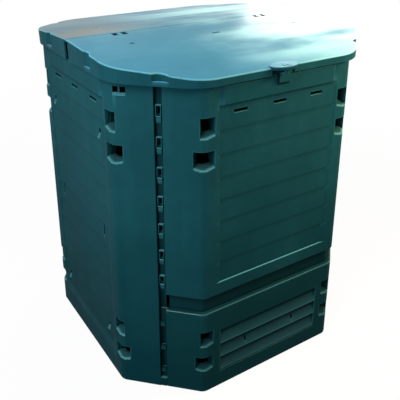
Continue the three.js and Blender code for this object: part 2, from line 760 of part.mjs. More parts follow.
// The oval ear that overhangs the lid's edge above the latch
function lidEar() {
  const shape = new THREE.Shape();
  const centre = ear.inset - lidHalfWidth;
  shape.absellipse(latchOffset, centre, ear.halfLength, ear.halfDepth, 0, 2 * Math.PI);
  const settings = { depth: ear.thickness, bevelEnabled: false, curveSegments: earArcSegments };
  return toSolid(new THREE.ExtrudeGeometry(shape, settings).translate(0, 0, earTop - ear.thickness));
}

// A scallop in the lid's edge: the boss behind it and the cut with its ledge
function scallopParts({ turn, along }) {
  const { radius, wall, ledgeDrop, faceBite, cornerBite } = scallop;
  const atCorner = turn % 1 !== 0;
  const edge = atCorner ? lidCornerReach - cornerBite : lidHalfWidth - faceBite;
  const outward = point(0, -1, 0).applyAxisAngle(up, turn * quarterTurn);
  const sideways = new THREE.Vector3().crossVectors(up, outward);
  const place = outward.multiplyScalar(edge + radius).addScaledVector(sideways, along);
  const ledge = lidEdgeHeight - ledgeDrop;
  const height = lidSeamHeight - ledge;
  const bossMiddle = place.clone().setZ(ledge + (height - wall) / 2);
  const boss = rod(radius + wall, height + wall, bossMiddle, up, scallopSegments);
  const cut = rod(radius, height, place.clone().setZ(ledge + height / 2), up, scallopSegments);
  return { boss, cut };
}

// The space inside the lid
function lidHollow() {
  return lidPlan(skirtThickness, skirtFoot - overrun, lidSeamHeight + overrun)
    .intersect(underLid(lidThickness, lidCornerReach));
}

// One lid half as it lies on the front; the rear half is turned afterwards
function lidHalf(hinge) {
  const outer = lidPlan(0, skirtFoot, lidSeamHeight + overrun).intersect(underLid(0, lidCornerReach));
  const scallops = scallopPlaces.map((place) => scallopParts(place));
  const bosses = joined(scallops.map(({ boss }) => boss)).intersect(outer);
  const cuts = joined(scallops.map(({ cut }) => cut));
  const far = lidHalfWidth + overrun;
  const aside = block(point(-far, -hinge.seam, 0), point(far, far, lidSeamHeight + overrun));
  const skirtEnds = [-1, 1].map((hand) => {
    const inner = hand * (lidHalfWidth - skirtThickness - overrun);
    const [low, high] = [inner, hand * far].sort((a, b) => a - b);
    return block(point(low, -skirtEndMargin, 0), point(high, far, lidHeight(0) - lidThickness));
  });
  const webbed = lidKnuckles({ ...hinge, y: -Math.abs(hinge.y) }, -1);
  const bore = joined([hinge.left, hinge.right].map((x) =>
    pinBore({ ...hinge, y: -Math.abs(hinge.y) }, x, fitGap)));
  const body = outer.subtract(lidHollow()).add(bosses).subtract(cuts);
  return body.subtract(aside).add(webbed).subtract(bore).subtract(joined(skirtEnds));
}

// The front half, with the ear that the latch turns in
function frontLid() {
  const pivot = point(latchOffset, -latchReach, earTop);
  const shankBore = rod(latchShank.radius + latchShank.clearance, 2 * (ear.thickness + overrun), pivot, up);
  const headSeat = rod(latchHead.radius + latchShank.clearance, 2 * latchHead.thickness, pivot, up);
  const notch = block(point(skirtNotch.start, -lidHalfWidth - overrun, skirtFoot - overrun),
    point(skirtNotch.end, -lidHalfWidth + skirtThickness + overrun, earTop - ear.thickness));
  return lidHalf(frontHinge).add(lidEar().subtract(lidHollow())).subtract(notch)
    .subtract(shankBore).subtract(headSeat).subtract(lugNotches(frontHinge));
}

function rearLid() {
  return turned(lidHalf({ ...rearHinge, left: -rearHinge.right, right: -rearHinge.left }), rear);
}

// A turn latch: a slotted head in the ear, a shank and a toe that points along the edge
function latch() {
  const headFoot = earTop - latchHead.thickness + fitGap;
  const centre = (z) => point(latchOffset, -latchReach, z);
  const head = rod(latchHead.radius, latchHead.thickness, centre(headFoot + latchHead.thickness / 2), up);
  const slot = block(
    point(latchOffset - latchHead.slotLength / 2, -latchReach - latchHead.slotWidth / 2,
      headFoot + latchHead.thickness - latchHead.slotDepth),
    point(latchOffset + latchHead.slotLength / 2, -latchReach + latchHead.slotWidth / 2, earTop + overrun));
  const toeFoot = latchToeTop - latchToe.height;
  const shank = rod(latchShank.radius, headFoot - toeFoot + overrun / 2,
    centre((headFoot + toeFoot + overrun / 2) / 2), up);
  const collar = rod(latchShank.radius + latchToe.collar, latchToe.drop - fitGap + overrun / 2,
    centre((latchToeTop + earTop - ear.thickness - fitGap - overrun / 2) / 2), up);
  const toe = block(point(latchOffset - latchToe.length, -latchReach - latchToe.width / 2, toeFoot),
    point(latchOffset, -latchReach + latchToe.width / 2, latchToeTop));
  return joined([head.subtract(slot), shank, collar, toe]);
}

// The pegs that hold a catch in the rim band, grown by a clearance
function catchPegs(clearance) {
  const middle = (catchPlate.start + catchPlate.end) / 2;
  const level = catchFoot + catchPeg.height;
  const seat = faceReach(bodyHalfWidth, catchFoot, wallThickness);
  return joined([-1, 1].map((hand) => {
    const x = middle + (hand * catchPeg.spacing) / 2;
    const across = catchPeg.width / 2 + clearance;
    const upright = catchPeg.height / 2 + clearance;
    return block(point(x - across, -catchReach + overrun, level - upright),
      point(x + across, -seat + overrun, level + upright));
  }));
}

// A catch: a plate in front of the rim band with a slot that takes the latch's toe from one side
function latchCatch() {
  const { start, end, headroom, windowEnd, windowMargin } = catchPlate;
  const bandFace = faceReach(bodyHalfWidth, catchFoot, -rimBand.proud);
  const top = earTop - ear.thickness - headroom;
  const plate = block(point(start, -catchReach, catchFoot), point(end, -bandFace - fitGap, top));
  const windowFoot = latchToeTop - latchToe.height - windowMargin;
  const window = block(point(start - overrun, -catchReach - overrun, windowFoot),
    point(latchOffset + windowEnd, -bandFace + overrun, latchToeTop + windowMargin));
  return plate.subtract(window).add(catchPegs(0));
}

const wallPlastic = new THREE.MeshStandardMaterial({ color: 0x17585a, roughness: 0.55, metalness: 0 });
const hatchPlastic = new THREE.MeshStandardMaterial({ color: 0x14504f, roughness: 0.55, metalness: 0 });
const lidPlastic = new THREE.MeshStandardMaterial({ color: 0x2a6f78, roughness: 0.4, metalness: 0 });
const clipPlastic = new THREE.MeshStandardMaterial({ color: 0x2c6a6c, roughness: 0.5, metalness: 0 });

const bin = new THREE.Group();

function addPiece(name, solid, material) {
  const mesh = new THREE.Mesh(toGeometry(solid), material);
  mesh.name = name;
  bin.add(mesh);
}

addPiece('front_wall', frontWall(), wallPlastic);
addPiece('rear_wall', hatchedWall(rear), wallPlastic);
addPiece('left_wall', sideWall(left), wallPlastic);
addPiece('right_wall', sideWall(right), wallPlastic);
addPiece('front_hatch', hatch(front), hatchPlastic);
addPiece('rear_hatch', hatch(rear), hatchPlastic);
const corners = [
  { name: 'front_left', turn: front, hand: -1 },
  { name: 'front_right', turn: front, hand: 1 },
  { name: 'rear_right', turn: rear, hand: -1 },
  { name: 'rear_left', turn: rear, hand: 1 },
];
corners.forEach(({ name, turn, hand }) => {
  clipTops().forEach((top, i) =>
    addPiece(`corner_clip_${name}_${i + 1}`, clip(turn, hand, top), clipPlastic));
});
addPiece('lid_crossbar', crossbar(), wallPlastic);
addPiece('front_lid', frontLid(), lidPlastic);
addPiece('rear_lid', rearLid(), lidPlastic);
addPiece('front_hinge_pin_left', hingePin(frontHinge, frontHinge.left), clipPlastic);
addPiece('front_hinge_pin_right', hingePin(frontHinge, frontHinge.right), clipPlastic);
addPiece('rear_hinge_pin_left', hingePin(rearHinge, rearHinge.left), clipPlastic);
addPiece('rear_hinge_pin_right', hingePin(rearHinge, rearHinge.right), clipPlastic);
addPiece('front_latch', latch(), lidPlastic);
addPiece('front_catch', latchCatch(), wallPlastic);

export default bin;
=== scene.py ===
"""A garden compost bin with a lid in two halves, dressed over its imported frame.

Shapes are drawn in millimetres and scaled to metres when a mesh is finished. A wall or
hatch is drawn flat on a chart, as distances along the panel, behind its outer face and
above the ground, and is then folded into its corner faces.
"""
import json
import logging
import math
from dataclasses import dataclass, field, replace
from enum import Enum
from itertools import product
from typing import Callable, Iterable

import bmesh
import bpy
from mathutils import Matrix, Vector


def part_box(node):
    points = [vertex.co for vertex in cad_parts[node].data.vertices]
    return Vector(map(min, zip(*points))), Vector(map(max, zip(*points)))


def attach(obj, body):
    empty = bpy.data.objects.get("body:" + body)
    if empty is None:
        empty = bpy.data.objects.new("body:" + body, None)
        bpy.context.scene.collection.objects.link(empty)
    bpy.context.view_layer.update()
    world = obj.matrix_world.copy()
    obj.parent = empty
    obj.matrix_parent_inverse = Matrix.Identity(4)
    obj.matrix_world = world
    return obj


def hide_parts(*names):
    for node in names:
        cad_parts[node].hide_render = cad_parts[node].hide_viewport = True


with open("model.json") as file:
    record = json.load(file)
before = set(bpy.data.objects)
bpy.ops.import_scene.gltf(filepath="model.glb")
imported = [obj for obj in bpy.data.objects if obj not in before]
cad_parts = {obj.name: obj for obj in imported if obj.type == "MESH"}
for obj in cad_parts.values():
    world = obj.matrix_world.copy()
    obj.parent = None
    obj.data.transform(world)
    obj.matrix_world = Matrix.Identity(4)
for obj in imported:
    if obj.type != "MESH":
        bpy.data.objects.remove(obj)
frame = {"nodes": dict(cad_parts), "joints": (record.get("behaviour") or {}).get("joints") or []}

Mesh = bmesh.types.BMesh
Face = bmesh.types.BMFace
Vert = bmesh.types.BMVert
Edge = bmesh.types.BMEdge
Node = bpy.types.Node
Socket = bpy.types.NodeSocket
Pair = tuple[float, float]
Pairs = tuple[Pair, ...]
Triple = tuple[float, float, float]
Triples = tuple[Triple, ...]
Grid = tuple[list[float], list[float]]
Pigment = tuple[int, int, int]
Paint = tuple[float, float, float, float]
Colour = Paint | Socket

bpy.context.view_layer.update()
MILLIMETRE = 0.001
SNAP = 0.0002
MERGE = 0.002
BORDER = 1.0
BEYOND = 9.0
BROAD_FACE = 200.0
RIM_SHARES = (1.0, 0.45, 0.13, 0.0)
SOFT_SHARES = (0.0, 0.25, 0.5, 0.75, 1.0)
AT_END = (1.0,)
RIM = 0.9
# Tilts of a face's normal between which the painted top light sets in.
SHADE_TILT, FULL_SKY_TILT = 0.05, 0.6
SMOOTH_ANGLE = math.radians(24)
FLAT_ANGLE = math.radians(1)
SHARP_ANGLE = math.radians(35)
EIGHTH_TURN = math.pi / 4
QUARTER_TURN = math.pi / 2
HALF_TURN = math.pi
UP = Vector((0, 0, 1))
WHITE = (1.0, 1.0, 1.0, 1.0)
IMAGE_SIDE = 400
log = logging.getLogger("compost_bin")


def box_of(node: str) -> tuple[Vector, Vector]:
    """The lowest and highest corner of a node of the frame, in millimetres."""
    low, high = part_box(node)
    return low / MILLIMETRE, high / MILLIMETRE


def ramp(value: float, start: float, end: float) -> float:
    """A soft step from 0 at start to 1 at end."""
    share = min(max((value - start) / (end - start), 0.0), 1.0)
    return share * share * (3 - 2 * share)


def rounding(gap: float, radius: float) -> float:
    """How far a rounded edge falls back at a gap from the edge itself."""
    if gap >= radius:
        return 0.0
    inside = radius - max(gap, 0.0)
    return radius - math.sqrt(radius * radius - inside * inside)


def blank(*layers: str) -> Mesh:
    """An empty mesh whose vertices carry layers of numbers."""
    mesh = bmesh.new()
    for name in layers:
        mesh.verts.layers.float.new(name)
    return mesh


def cut(mesh: Mesh, faces: list[Face], point: Vector, normal: Vector) -> list[Face]:
    """Cuts faces along a plane.

    Args:
        mesh: the mesh that they belong to.
        faces: the faces.
        point: a point of the plane.
        normal: the direction that it faces.

    Returns:
        The faces after the cut.
    """
    edges = {edge for face in faces for edge in face.edges}
    verts = {vert for face in faces for vert in face.verts}
    made = bmesh.ops.bisect_plane(
        mesh, geom=[*faces, *edges, *verts], dist=SNAP, plane_co=point, plane_no=normal
    )["geom"]
    return [item for item in made if isinstance(item, Face)]


def bevelled(mesh: Mesh, edges: Iterable[Edge], width: float) -> list[Face]:
    """Rounds edges of a mesh off and gives back the new faces."""
    return bmesh.ops.bevel(
        mesh, geom=list(edges), offset=width, segments=2, profile=0.5, affect="EDGES",
        offset_type="OFFSET", clamp_overlap=True, material=-1,
    )["faces"]


def placed(name: str, data: bpy.types.ID) -> bpy.types.Object:
    """Adds an object with its data to the scene."""
    thing = bpy.data.objects.new(name, data)
    bpy.context.scene.collection.objects.link(thing)
    return thing


class Rail(Enum):
    """The upright line of a panel that a feature keeps its distance from."""

    MIDDLE = "middle"
    FOLD = "fold"
    JOINT = "joint"


class Side(Enum):
    """The ends of the bin that are built alike, with the turn that each is at."""

    FRONT = 0.0
    REAR = HALF_TURN


@dataclass(frozen=True)
class BinForm:
    """The driving sizes of the bin, with what the frame shows read from its nodes.

    Attributes:
        half_width: distance of a flat face from the middle, at the ground.
        seam_height: top of the lid at its seam.
        skirt_foot: lower edge of the lid.
        lid_half_width: distance of the lid's straight edges from the middle.
        wall_foot: lower edge of the walls above the hatches.
        ledge_height: top of the hatches' plates.
    """

    half_width: float
    seam_height: float
    skirt_foot: float
    lid_half_width: float
    wall_foot: float
    ledge_height: float
    corner_projection: float = 42.0
    lean_share: float = 0.034
    fold_radius: float = 28.0
    wall: float = 8.0
    lid_edge_drop: float = 30.0
    lid_corner_overhang: float = 15.6
    lid_seam_slope_share: float = 0.035
    lid_clearance: float = 4.3

    @classmethod
    def from_frame(cls, hatch_travel: float, headroom: float = 7.0) -> "BinForm":
        """Reads the sizes that the frame shows.

        Args:
            hatch_travel: how far a hatch lifts.
            headroom: what is left above a lifted hatch.

        Returns:
            The form of the bin.
        """
        lid_low, lid_high = box_of("front_lid")
        wall_foot = box_of("front_wall")[0].z
        return cls(
            half_width=-box_of("left_wall")[0].x,
            seam_height=round(lid_high.z),
            skirt_foot=lid_low.z,
            lid_half_width=lid_high.x,
            wall_foot=wall_foot,
            ledge_height=wall_foot - hatch_travel - headroom,
        )

    def flat(self, height: float) -> float:
        """Distance of a flat face from the middle of the bin."""
        return self.half_width - self.lean_share * height

    def corner(self, height: float) -> float:
        """Distance of a corner face from the middle of the bin."""
        return self.half_width + self.corner_projection - self.lean_share * height

    def fold(self, height: float) -> float:
        """Half the width of a flat face, up to where it folds."""
        return self.corner(height) * math.sqrt(2) - self.flat(height)

    def joint(self, height: float) -> float:
        """Distance along a panel to the middle of the corner face."""
        fold = self.fold(height)
        return fold + (self.flat(height) - fold) / math.sqrt(2)

    def rail(self, rail: Rail, height: float) -> float:
        """Distance along a panel to one of its rails."""
        if rail is Rail.FOLD:
            return self.fold(height)
        if rail is Rail.JOINT:
            return self.joint(height)
        return 0.0

    def slope(self, rail: Rail) -> float:
        """How far a rail moves along the panel for each millimetre of height."""
        span = self.seam_height
        return (self.rail(rail, span) - self.rail(rail, 0)) / span

    @property
    def fold_margin(self) -> float:
        """Distance from the fold at which its rounding starts."""
        return self.fold_radius * math.tan(EIGHTH_TURN / 2)

    def fold_angle(self, run: float) -> float:
        """The angle that the face has turned through at a run past the fold."""
        share = (run + self.fold_margin) / (2 * self.fold_margin)
        return min(max(share, 0.0), 1.0) * EIGHTH_TURN

    def folded(self, across: float, depth: float, height: float) -> Vector:
        """The place in the bin of a point of a front panel's chart.

        Args:
            across: distance along the panel from its middle, signed.
            depth: distance behind the outer face.
            height: height above the ground.

        Returns:
            The point, for the panel that faces the front.
        """
        flat, fold = self.flat(height), self.fold(height)
        run = abs(across) - fold
        angle = self.fold_angle(run)
        out = Vector((math.sin(angle), -math.cos(angle)))
        if angle <= 0:
            place = Vector((abs(across), -flat))
        elif angle >= EIGHTH_TURN:
            place = Vector((fold, -flat)) + Vector((run, run)) / math.sqrt(2)
        else:
            place = Vector((fold - self.fold_margin, self.fold_radius - flat)) + out * self.fold_radius
        place -= out * depth
        return Vector((math.copysign(place.x, across), place.y, height))

    def lid_height(self, distance: float) -> float:
        """Height of the lid's upper face at a distance from the seam."""
        curve = self.lid_edge_drop - self.lid_seam_slope_share * self.lid_half_width
        share = distance / self.lid_half_width
        return self.seam_height - self.lid_seam_slope_share * distance - curve * share * share


HATCH_TRAVEL = max(
    joint["range_m"][1] for joint in frame["joints"] if joint["type"] == "slide"
) / MILLIMETRE
FORM = BinForm.from_frame(HATCH_TRAVEL)


class Signal:
    """A number that varies over a surface, on which arithmetic can be written."""

    def __init__(self, shader: "Shader", socket: Socket) -> None:
        """Wraps an output socket of a shader's node."""
        self.shader = shader
        self.socket = socket

    def math(self, operation: str, *others: "Signal | float") -> "Signal":
        """Adds a Math node that starts with this signal."""
        return self.shader.math(operation, self, *others)

    def __add__(self, other: "Signal | float") -> "Signal":
        """The sum of this signal and another or a number."""
        return self.math("ADD", other)

    def __sub__(self, other: "Signal | float") -> "Signal":
        """This signal less another or a number."""
        return self.math("SUBTRACT", other)

    def __rsub__(self, other: float) -> "Signal":
        """A number less this signal."""
        return self.shader.math("SUBTRACT", other, self)

    def __mul__(self, other: "Signal | float") -> "Signal":
        """The product of this signal and another or a number."""
        return self.math("MULTIPLY", other)

    __radd__ = __add__
    __rmul__ = __mul__

    def step(self, start: float, end: float) -> "Signal":
        """A soft step of this signal from 0 at start to 1 at end."""
        sockets = {"Value": self, "From Min": start, "From Max": end}
        node = self.shader.node("ShaderNodeMapRange", {"interpolation_type": "SMOOTHSTEP"}, sockets)
        return Signal(self.shader, node.outputs["Result"])


class Pattern(Enum):
    """The noise on the plastic: its scale per metre, over all or along each axis, and its detail."""

    CLOUDS = (5.0, 4.0)
    BLOTCHES = (34.0, 5.0)
    RUNS = ((26.0, 26.0, 1.6), 4.0)
    SMEARS = ((1.6, 8.0, 1.0), 4.0)
    GRIT = (420.0, 2.0)
    SLACK = (7.0, 0.0)
    GRAIN = (1500.0, 2.0)


class Shader:
    """The node tree of a material or a world, built one node at a time."""

    def __init__(self, owner: bpy.types.Material | bpy.types.World) -> None:
        """Starts with an empty tree."""
        owner.use_nodes = True
        self.owner = owner
        self.tree = owner.node_tree
        self.tree.nodes.clear()

    def node(self, kind: str, settings: dict | None = None, sockets: dict | None = None) -> Node:
        """Adds a node.

        Args:
            kind: the node's type.
            settings: properties that are set before its sockets.
            sockets: values or links by the name or number of the input.

        Returns:
            The new node.
        """
        node = self.tree.nodes.new(kind)
        for name, value in (settings or {}).items():
            setattr(node, name, value)
        for name, value in (sockets or {}).items():
            if isinstance(value, Signal):
                value = value.socket
            if isinstance(value, Socket):
                self.tree.links.new(value, node.inputs[name])
            else:
                node.inputs[name].default_value = value
        return node

    def math(self, operation: str, *values: Signal | float) -> Signal:
        """Adds a Math node on signals and numbers."""
        sockets = dict(enumerate(values))
        return Signal(self, self.node("ShaderNodeMath", {"operation": operation}, sockets).outputs[0])

    def attribute(self, name: str) -> Signal:
        """Adds a reader of one of the mesh's attributes."""
        return Signal(self, self.node("ShaderNodeAttribute", {"attribute_name": name}).outputs["Fac"])

    def place(self) -> tuple[Socket, list[Signal]]:
        """Adds the place on the object, whole and along each axis."""
        place = self.node("ShaderNodeTexCoord").outputs["Object"]
        parts = self.node("ShaderNodeSeparateXYZ", None, {0: place}).outputs
        return place, [Signal(self, part) for part in parts]

    def noise(self, place: Socket, pattern: Pattern) -> Signal:
        """Adds one of the noise patterns on a place."""
        scale, detail = pattern.value
        if isinstance(scale, tuple):
            place = self.node("ShaderNodeMapping", None, {"Vector": place, "Scale": scale}).outputs["Vector"]
            scale = 1.0
        sockets = {"Vector": place, "Scale": scale, "Detail": detail}
        return Signal(self, self.node("ShaderNodeTexNoise", None, sockets).outputs["Fac"])

    def mix(self, share: Signal, first: Colour, second: Colour) -> Socket:
        """Adds a colour mix from the first to the second."""
        return self.node("ShaderNodeMix", {"data_type": "RGBA"}, {0: share, 6: first, 7: second}).outputs[2]

    def seen(self) -> Signal:
        """Adds whether a ray comes from the camera, a reflection or through glass."""
        rays = self.node("ShaderNodeLightPath").outputs
        kinds = ("Camera", "Glossy", "Transmission")
        camera, glossy, glass = [Signal(self, rays[f"Is {kind} Ray"]) for kind in kinds]
        return camera.math("MAXIMUM", glossy).math("MAXIMUM", glass)

    def mixed(self, share: Signal, first: Node, second: Node) -> Node:
        """Adds a mix of two shaders."""
        sockets = {0: share, 1: first.outputs[0], 2: second.outputs[0]}
        return self.node("ShaderNodeMixShader", None, sockets)


def pigment(*channels: int) -> Paint:
    """A colour as a shader takes it, from what a screen shows, 0 to 255 each."""
    shares = [value / 255 for value in channels]
    red, green, blue = [
        share / 12.92 if share <= 0.04045 else ((share + 0.055) / 1.055) ** 2.4 for share in shares
    ]
    return red, green, blue, 1.0


@dataclass(frozen=True)
class MouldedPlastic:
    """Weathered moulded plastic with a fine grain.

    Attributes:
        fresh: colour of the clean plastic.
        painted_top_light: colour painted on what faces the sky, a painted top light.
        faded: colour where sunlight and rubbing have paled it.
        lower_shade: colour of the painted shade towards the foot.
        worn_and_lit: colour of edges that rubbing has paled, also lightened as a painted highlight.
        lower_shade_top: height in metres at which the painted foot shade ends.
        streak_share: how much run marks vary the roughness.
        grain: height in metres of the moulded grain.
        wave: height in metres of the slack of a thin moulding.
        gloss: strength of the reflections.
        coat: strength of the sheen on what faces the sky.
        dust_and_glare: whether dust lies on the upper face behind the seam, with a painted glare of
            reflected sky towards the rear right.
            painted_darkening, dust, painted_glare: colours of the painted shade, of dust and of the painted
                glare.
        lower_shade_waver: how far in metres the painted foot shade's upper end wavers.
        pale_span, speck_span, edge_span, glare_streak_span, patch_span: noise over which a layer sets in.
        rear_span, front_span, depth_span: places in metres across the seam over which one does.
        right_span, left_span: places in metres along the seam over which one does.
    """

    name: str
    fresh: Pigment
    painted_top_light: Pigment
    faded: Pigment
    lower_shade: Pigment
    worn_and_lit: Pigment
    lower_shade_top: float = 0.55
    roughness: float = 0.46
    streak_share: float = 0.16
    grain: float = 0.00005
    wave: float = 0.0004
    gloss: float = 0.006
    coat: float = 0.25
    coat_roughness: float = 0.22
    dust_and_glare: bool = False
    painted_darkening: Pigment = (5, 24, 27)
    dust: Pigment = (108, 108, 106)
    painted_glare: Pigment = (190, 242, 245)
    lower_shade_waver: float = 0.25
    pale_span: Pair = (0.4, 0.66)
    speck_span: Pair = (0.62, 0.72)
    edge_span: Pair = (0.2, 0.5)
    glare_streak_span: Pair = (0.42, 0.62)
    patch_span: Pair = (0.35, 0.6)
    rear_span: Pair = (0.0, 0.012)
    front_span: Pair = (-0.4, -0.2)
    depth_span: Pair = (-0.36, 0.05)
    right_span: Pair = (-0.2, 0.28)
    left_span: Pair = (-0.32, 0.02)
    pale_share: float = 0.75
    speck_share: float = 0.22
    edge_share: float = 0.6
    dust_share: float = 0.85
    glare_share: float = 0.9
    darkening_share: float = 0.85
    blotch_roughness: float = 0.12
    lower_roughness: float = 0.08

    def material(self) -> bpy.types.Material:
        """Builds the material's nodes and gives it back."""
        shader = Shader(bpy.data.materials.new(self.name))
        place, (across, along, height) = shader.place()
        clouds, blotches = shader.noise(place, Pattern.CLOUDS), shader.noise(place, Pattern.BLOTCHES)
        runs, grit = shader.noise(place, Pattern.RUNS), shader.noise(place, Pattern.GRIT)
        sun, grime = shader.attribute("sun"), shader.attribute("grime")
        # Painted shade: the colour darkens towards the foot, up to a wavering height. The surface is rougher
        # there too.
        low = 1 - (height + (clouds - 0.5) * self.lower_shade_waver).step(0.0, self.lower_shade_top)
        pale = (clouds * 0.45 + blotches * 0.2 + runs * 0.35).step(*self.pale_span)
        specks = (grit * 0.6 + blotches * 0.4).step(*self.speck_span)
        # Edges paled by rubbing in patches, also lightened as a painted highlight.
        rubbed_and_lit = shader.attribute("wear") * blotches.step(*self.edge_span)
        sheen = sun * (1 - grime) * (self.coat * (0.6 + 0.8 * clouds))
        # Layers: random paling, painted shade towards the foot, a painted top light on what faces the sky,
        # specks, and edges paled by rubbing and by a painted highlight.
        layers = [
            (pale * self.pale_share, self.faded),
            (low * (0.75 + 0.25 * blotches), self.lower_shade),
            (sun * (0.75 + 0.5 * (clouds - 0.5)), self.painted_top_light),
            (specks * self.speck_share, self.faded),
            (rubbed_and_lit * self.edge_share, self.worn_and_lit),
        ]
        if self.dust_and_glare:
            rear, right = along.step(*self.rear_span), across.step(*self.right_span)
            glare_streaks = (shader.noise(place, Pattern.SMEARS) * 0.7 + clouds * 0.3).step(*self.glare_streak_span)
            dusted = rear * (1 - across.step(*self.left_span)) * sun
            dusted = dusted * (0.55 + 0.45 * clouds.step(*self.patch_span))
            # A painted glare: pale sky reflection painted into the upper face's colour, in streaks towards
            # the rear right.
            painted_glare_mask = glare_streaks * sun * (0.85 + 0.15 * rear) * (0.05 + 0.95 * right)
            painted_glare_mask = painted_glare_mask * (0.3 + 0.7 * along.step(*self.front_span))
            layers += [(dusted * self.dust_share, self.dust), (painted_glare_mask * self.glare_share, self.painted_glare)]
            sheen = sheen * along.step(*self.depth_span) * (0.45 + 0.55 * right)
        colour = pigment(*self.fresh)
        # Painted shade last, darkest in openings, recesses, gaps and under overhangs.
        for share, layer in [*layers, (grime * self.darkening_share, self.painted_darkening)]:
            colour = shader.mix(share, colour, pigment(*layer))
        roughness = self.roughness + (runs - 0.5) * self.streak_share
        roughness = roughness + (blotches - 0.5) * self.blotch_roughness + low * self.lower_roughness
        sockets = {"Strength": 1.0}
        for distance, pattern in ((self.wave, Pattern.SLACK), (self.grain, Pattern.GRAIN)):
            sockets |= {"Distance": distance, "Height": shader.noise(place, pattern)}
            sockets["Normal"] = shader.node("ShaderNodeBump", None, sockets).outputs[0]
        surface = shader.node("ShaderNodeBsdfPrincipled", None, {
            "Base Color": colour,
            "Roughness": roughness,
            "Normal": sockets["Normal"],
            "Specular IOR Level": self.gloss,
            "Coat Weight": sheen,
            "Coat Roughness": self.coat_roughness,
        })
        shader.node("ShaderNodeOutputMaterial", None, {"Surface": surface.outputs[0]})
        return shader.owner


class Finish(Enum):
    """The finishes of the bin's pieces, one for each material slot of the record."""

    WALL = MouldedPlastic(
        "wall_plastic", fresh=(16, 54, 60), painted_top_light=(66, 122, 128), faded=(21, 64, 70),
        lower_shade=(3, 33, 38), worn_and_lit=(36, 88, 93), lower_shade_top=0.8,
    )
    # The hatches: a darker copy of the wall's plastic, as painted shade low on the bin.
    HATCH = MouldedPlastic(
        "hatch_plastic", fresh=(11, 46, 49), painted_top_light=(38, 82, 86), faded=(16, 56, 59),
        lower_shade=(4, 32, 36), worn_and_lit=(28, 76, 80), lower_shade_top=0.8,
    )
    LID = MouldedPlastic(
        "lid_plastic", fresh=(16, 55, 62), painted_top_light=(66, 128, 156), faded=(22, 66, 74),
        lower_shade=(16, 55, 62), worn_and_lit=(92, 152, 166), lower_shade_top=0.1, roughness=0.4, coat=0.45, dust_and_glare=True,
    )
    CLIP = MouldedPlastic(
        "clip_plastic", fresh=(20, 62, 68), painted_top_light=(58, 110, 116), faded=(28, 76, 82),
        lower_shade=(8, 42, 48), worn_and_lit=(48, 100, 106), lower_shade_top=0.7, roughness=0.42,
    )

    def material(self) -> bpy.types.Material:
        """The finish's material, made the first time it is asked for."""
        return bpy.data.materials.get(self.value.name) or self.value.material()


def finished(node: str, mesh: Mesh, body: str, finish: Finish, kind: str = "moulding") -> None:
    """Turns a mesh in millimetres into a dressed piece that rides on its body.

    Args:
        node: the node of the frame that it stands for.
        mesh: the mesh, which is freed.
        body: the body of the frame that it moves with.
        finish: its material.
        kind: what its name says after the node's.
    """
    bmesh.ops.scale(mesh, vec=Vector((MILLIMETRE,) * 3), verts=mesh.verts)
    for face in mesh.faces:
        face.smooth = True
    data = bpy.data.meshes.new(f"{node}_{kind}")
    mesh.to_mesh(data)
    mesh.free()
    data.set_sharp_from_angle(angle=SMOOTH_ANGLE)
    # How far each face looks up, kept as a layer. It paints a top light into the colour and sets the coat's
    # sheen.
    tilts = []
    for face in data.polygons:
        broad = face.area > BROAD_FACE * MILLIMETRE ** 2
        for i in face.loop_indices:
            normal = face.normal if broad else data.corner_normals[i].vector
            tilts.append(ramp(normal.z, SHADE_TILT, FULL_SKY_TILT))
    data.attributes.new("sun", "FLOAT", "CORNER").data.foreach_set("value", tilts)
    data.materials.append(finish.material())
    piece = placed(data.name, data)
    piece.modifiers.new("even_normals", "WEIGHTED_NORMAL").keep_sharp = True
    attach(piece, body)
    finish.name.lower()
    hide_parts(node)
    log.info("%s: %d faces on %s", piece.name, len(data.polygons), body)


def turned(mesh: Mesh, angle: float) -> Mesh:
    """A copy of a mesh, turned about the bin's upright middle."""
    copy = mesh.copy()
    bmesh.ops.rotate(copy, verts=copy.verts, matrix=Matrix.Rotation(angle, 3, "Z"))
    return copy


def lines(low: float, high: float, width: float, shares: tuple[float, ...] = RIM_SHARES) -> list[float]:
    """Lines outside both ends of a span, or inside them for a width below zero.

    Args:
        low: the span's lower end.
        high: its higher end.
        width: how far out the lines reach.
        shares: the lines' places as shares of the width.

    Returns:
        The places of the lines.
    """
    return [low - share * width for share in shares] + [high + share * width for share in shares]


@dataclass(frozen=True)
class Patch:
    """A four-sided piece of a panel's chart beside one of its rails."""

    rail: Rail
    near: float
    far: float
    foot: float
    top: float

    @classmethod
    def about(cls, rail: Rail, place: float, level: float, width: float, height: float) -> "Patch":
        """A patch about a place past its rail and a level."""
        return cls(rail, place - width / 2, place + width / 2, level - height / 2, level + height / 2)

    def grown(self, by: float) -> "Patch":
        """The patch with a border added all round."""
        return Patch(self.rail, self.near - by, self.far + by, self.foot - by, self.top + by)

    def lines(self, width: float, shares: tuple[float, ...] = RIM_SHARES) -> Grid:
        """Upright and level lines outside the patch's edges, or inside them for a width below zero."""
        return lines(self.near, self.far, width, shares), lines(self.foot, self.top, width, shares)

    def run(self, across: float, height: float) -> float:
        """Distance of a point past the patch's rail."""
        return abs(across) - FORM.rail(self.rail, height)

    def gap(self, across: float, height: float) -> float:
        """Distance of a point outside the patch, below zero inside it."""
        run = self.run(across, height)
        return max(self.near - run, run - self.far, self.foot - height, height - self.top)

    def meets(self, face: Face) -> bool:
        """Whether a face of a chart overlaps the patch."""
        places = [vert.co for vert in face.verts]
        runs = [self.run(place.x, place.z) for place in places]
        heights = [place.z for place in places]
        return (
            min(runs) < self.far - SNAP and max(runs) > self.near + SNAP
            and min(heights) < self.top - SNAP and max(heights) > self.foot + SNAP
        )


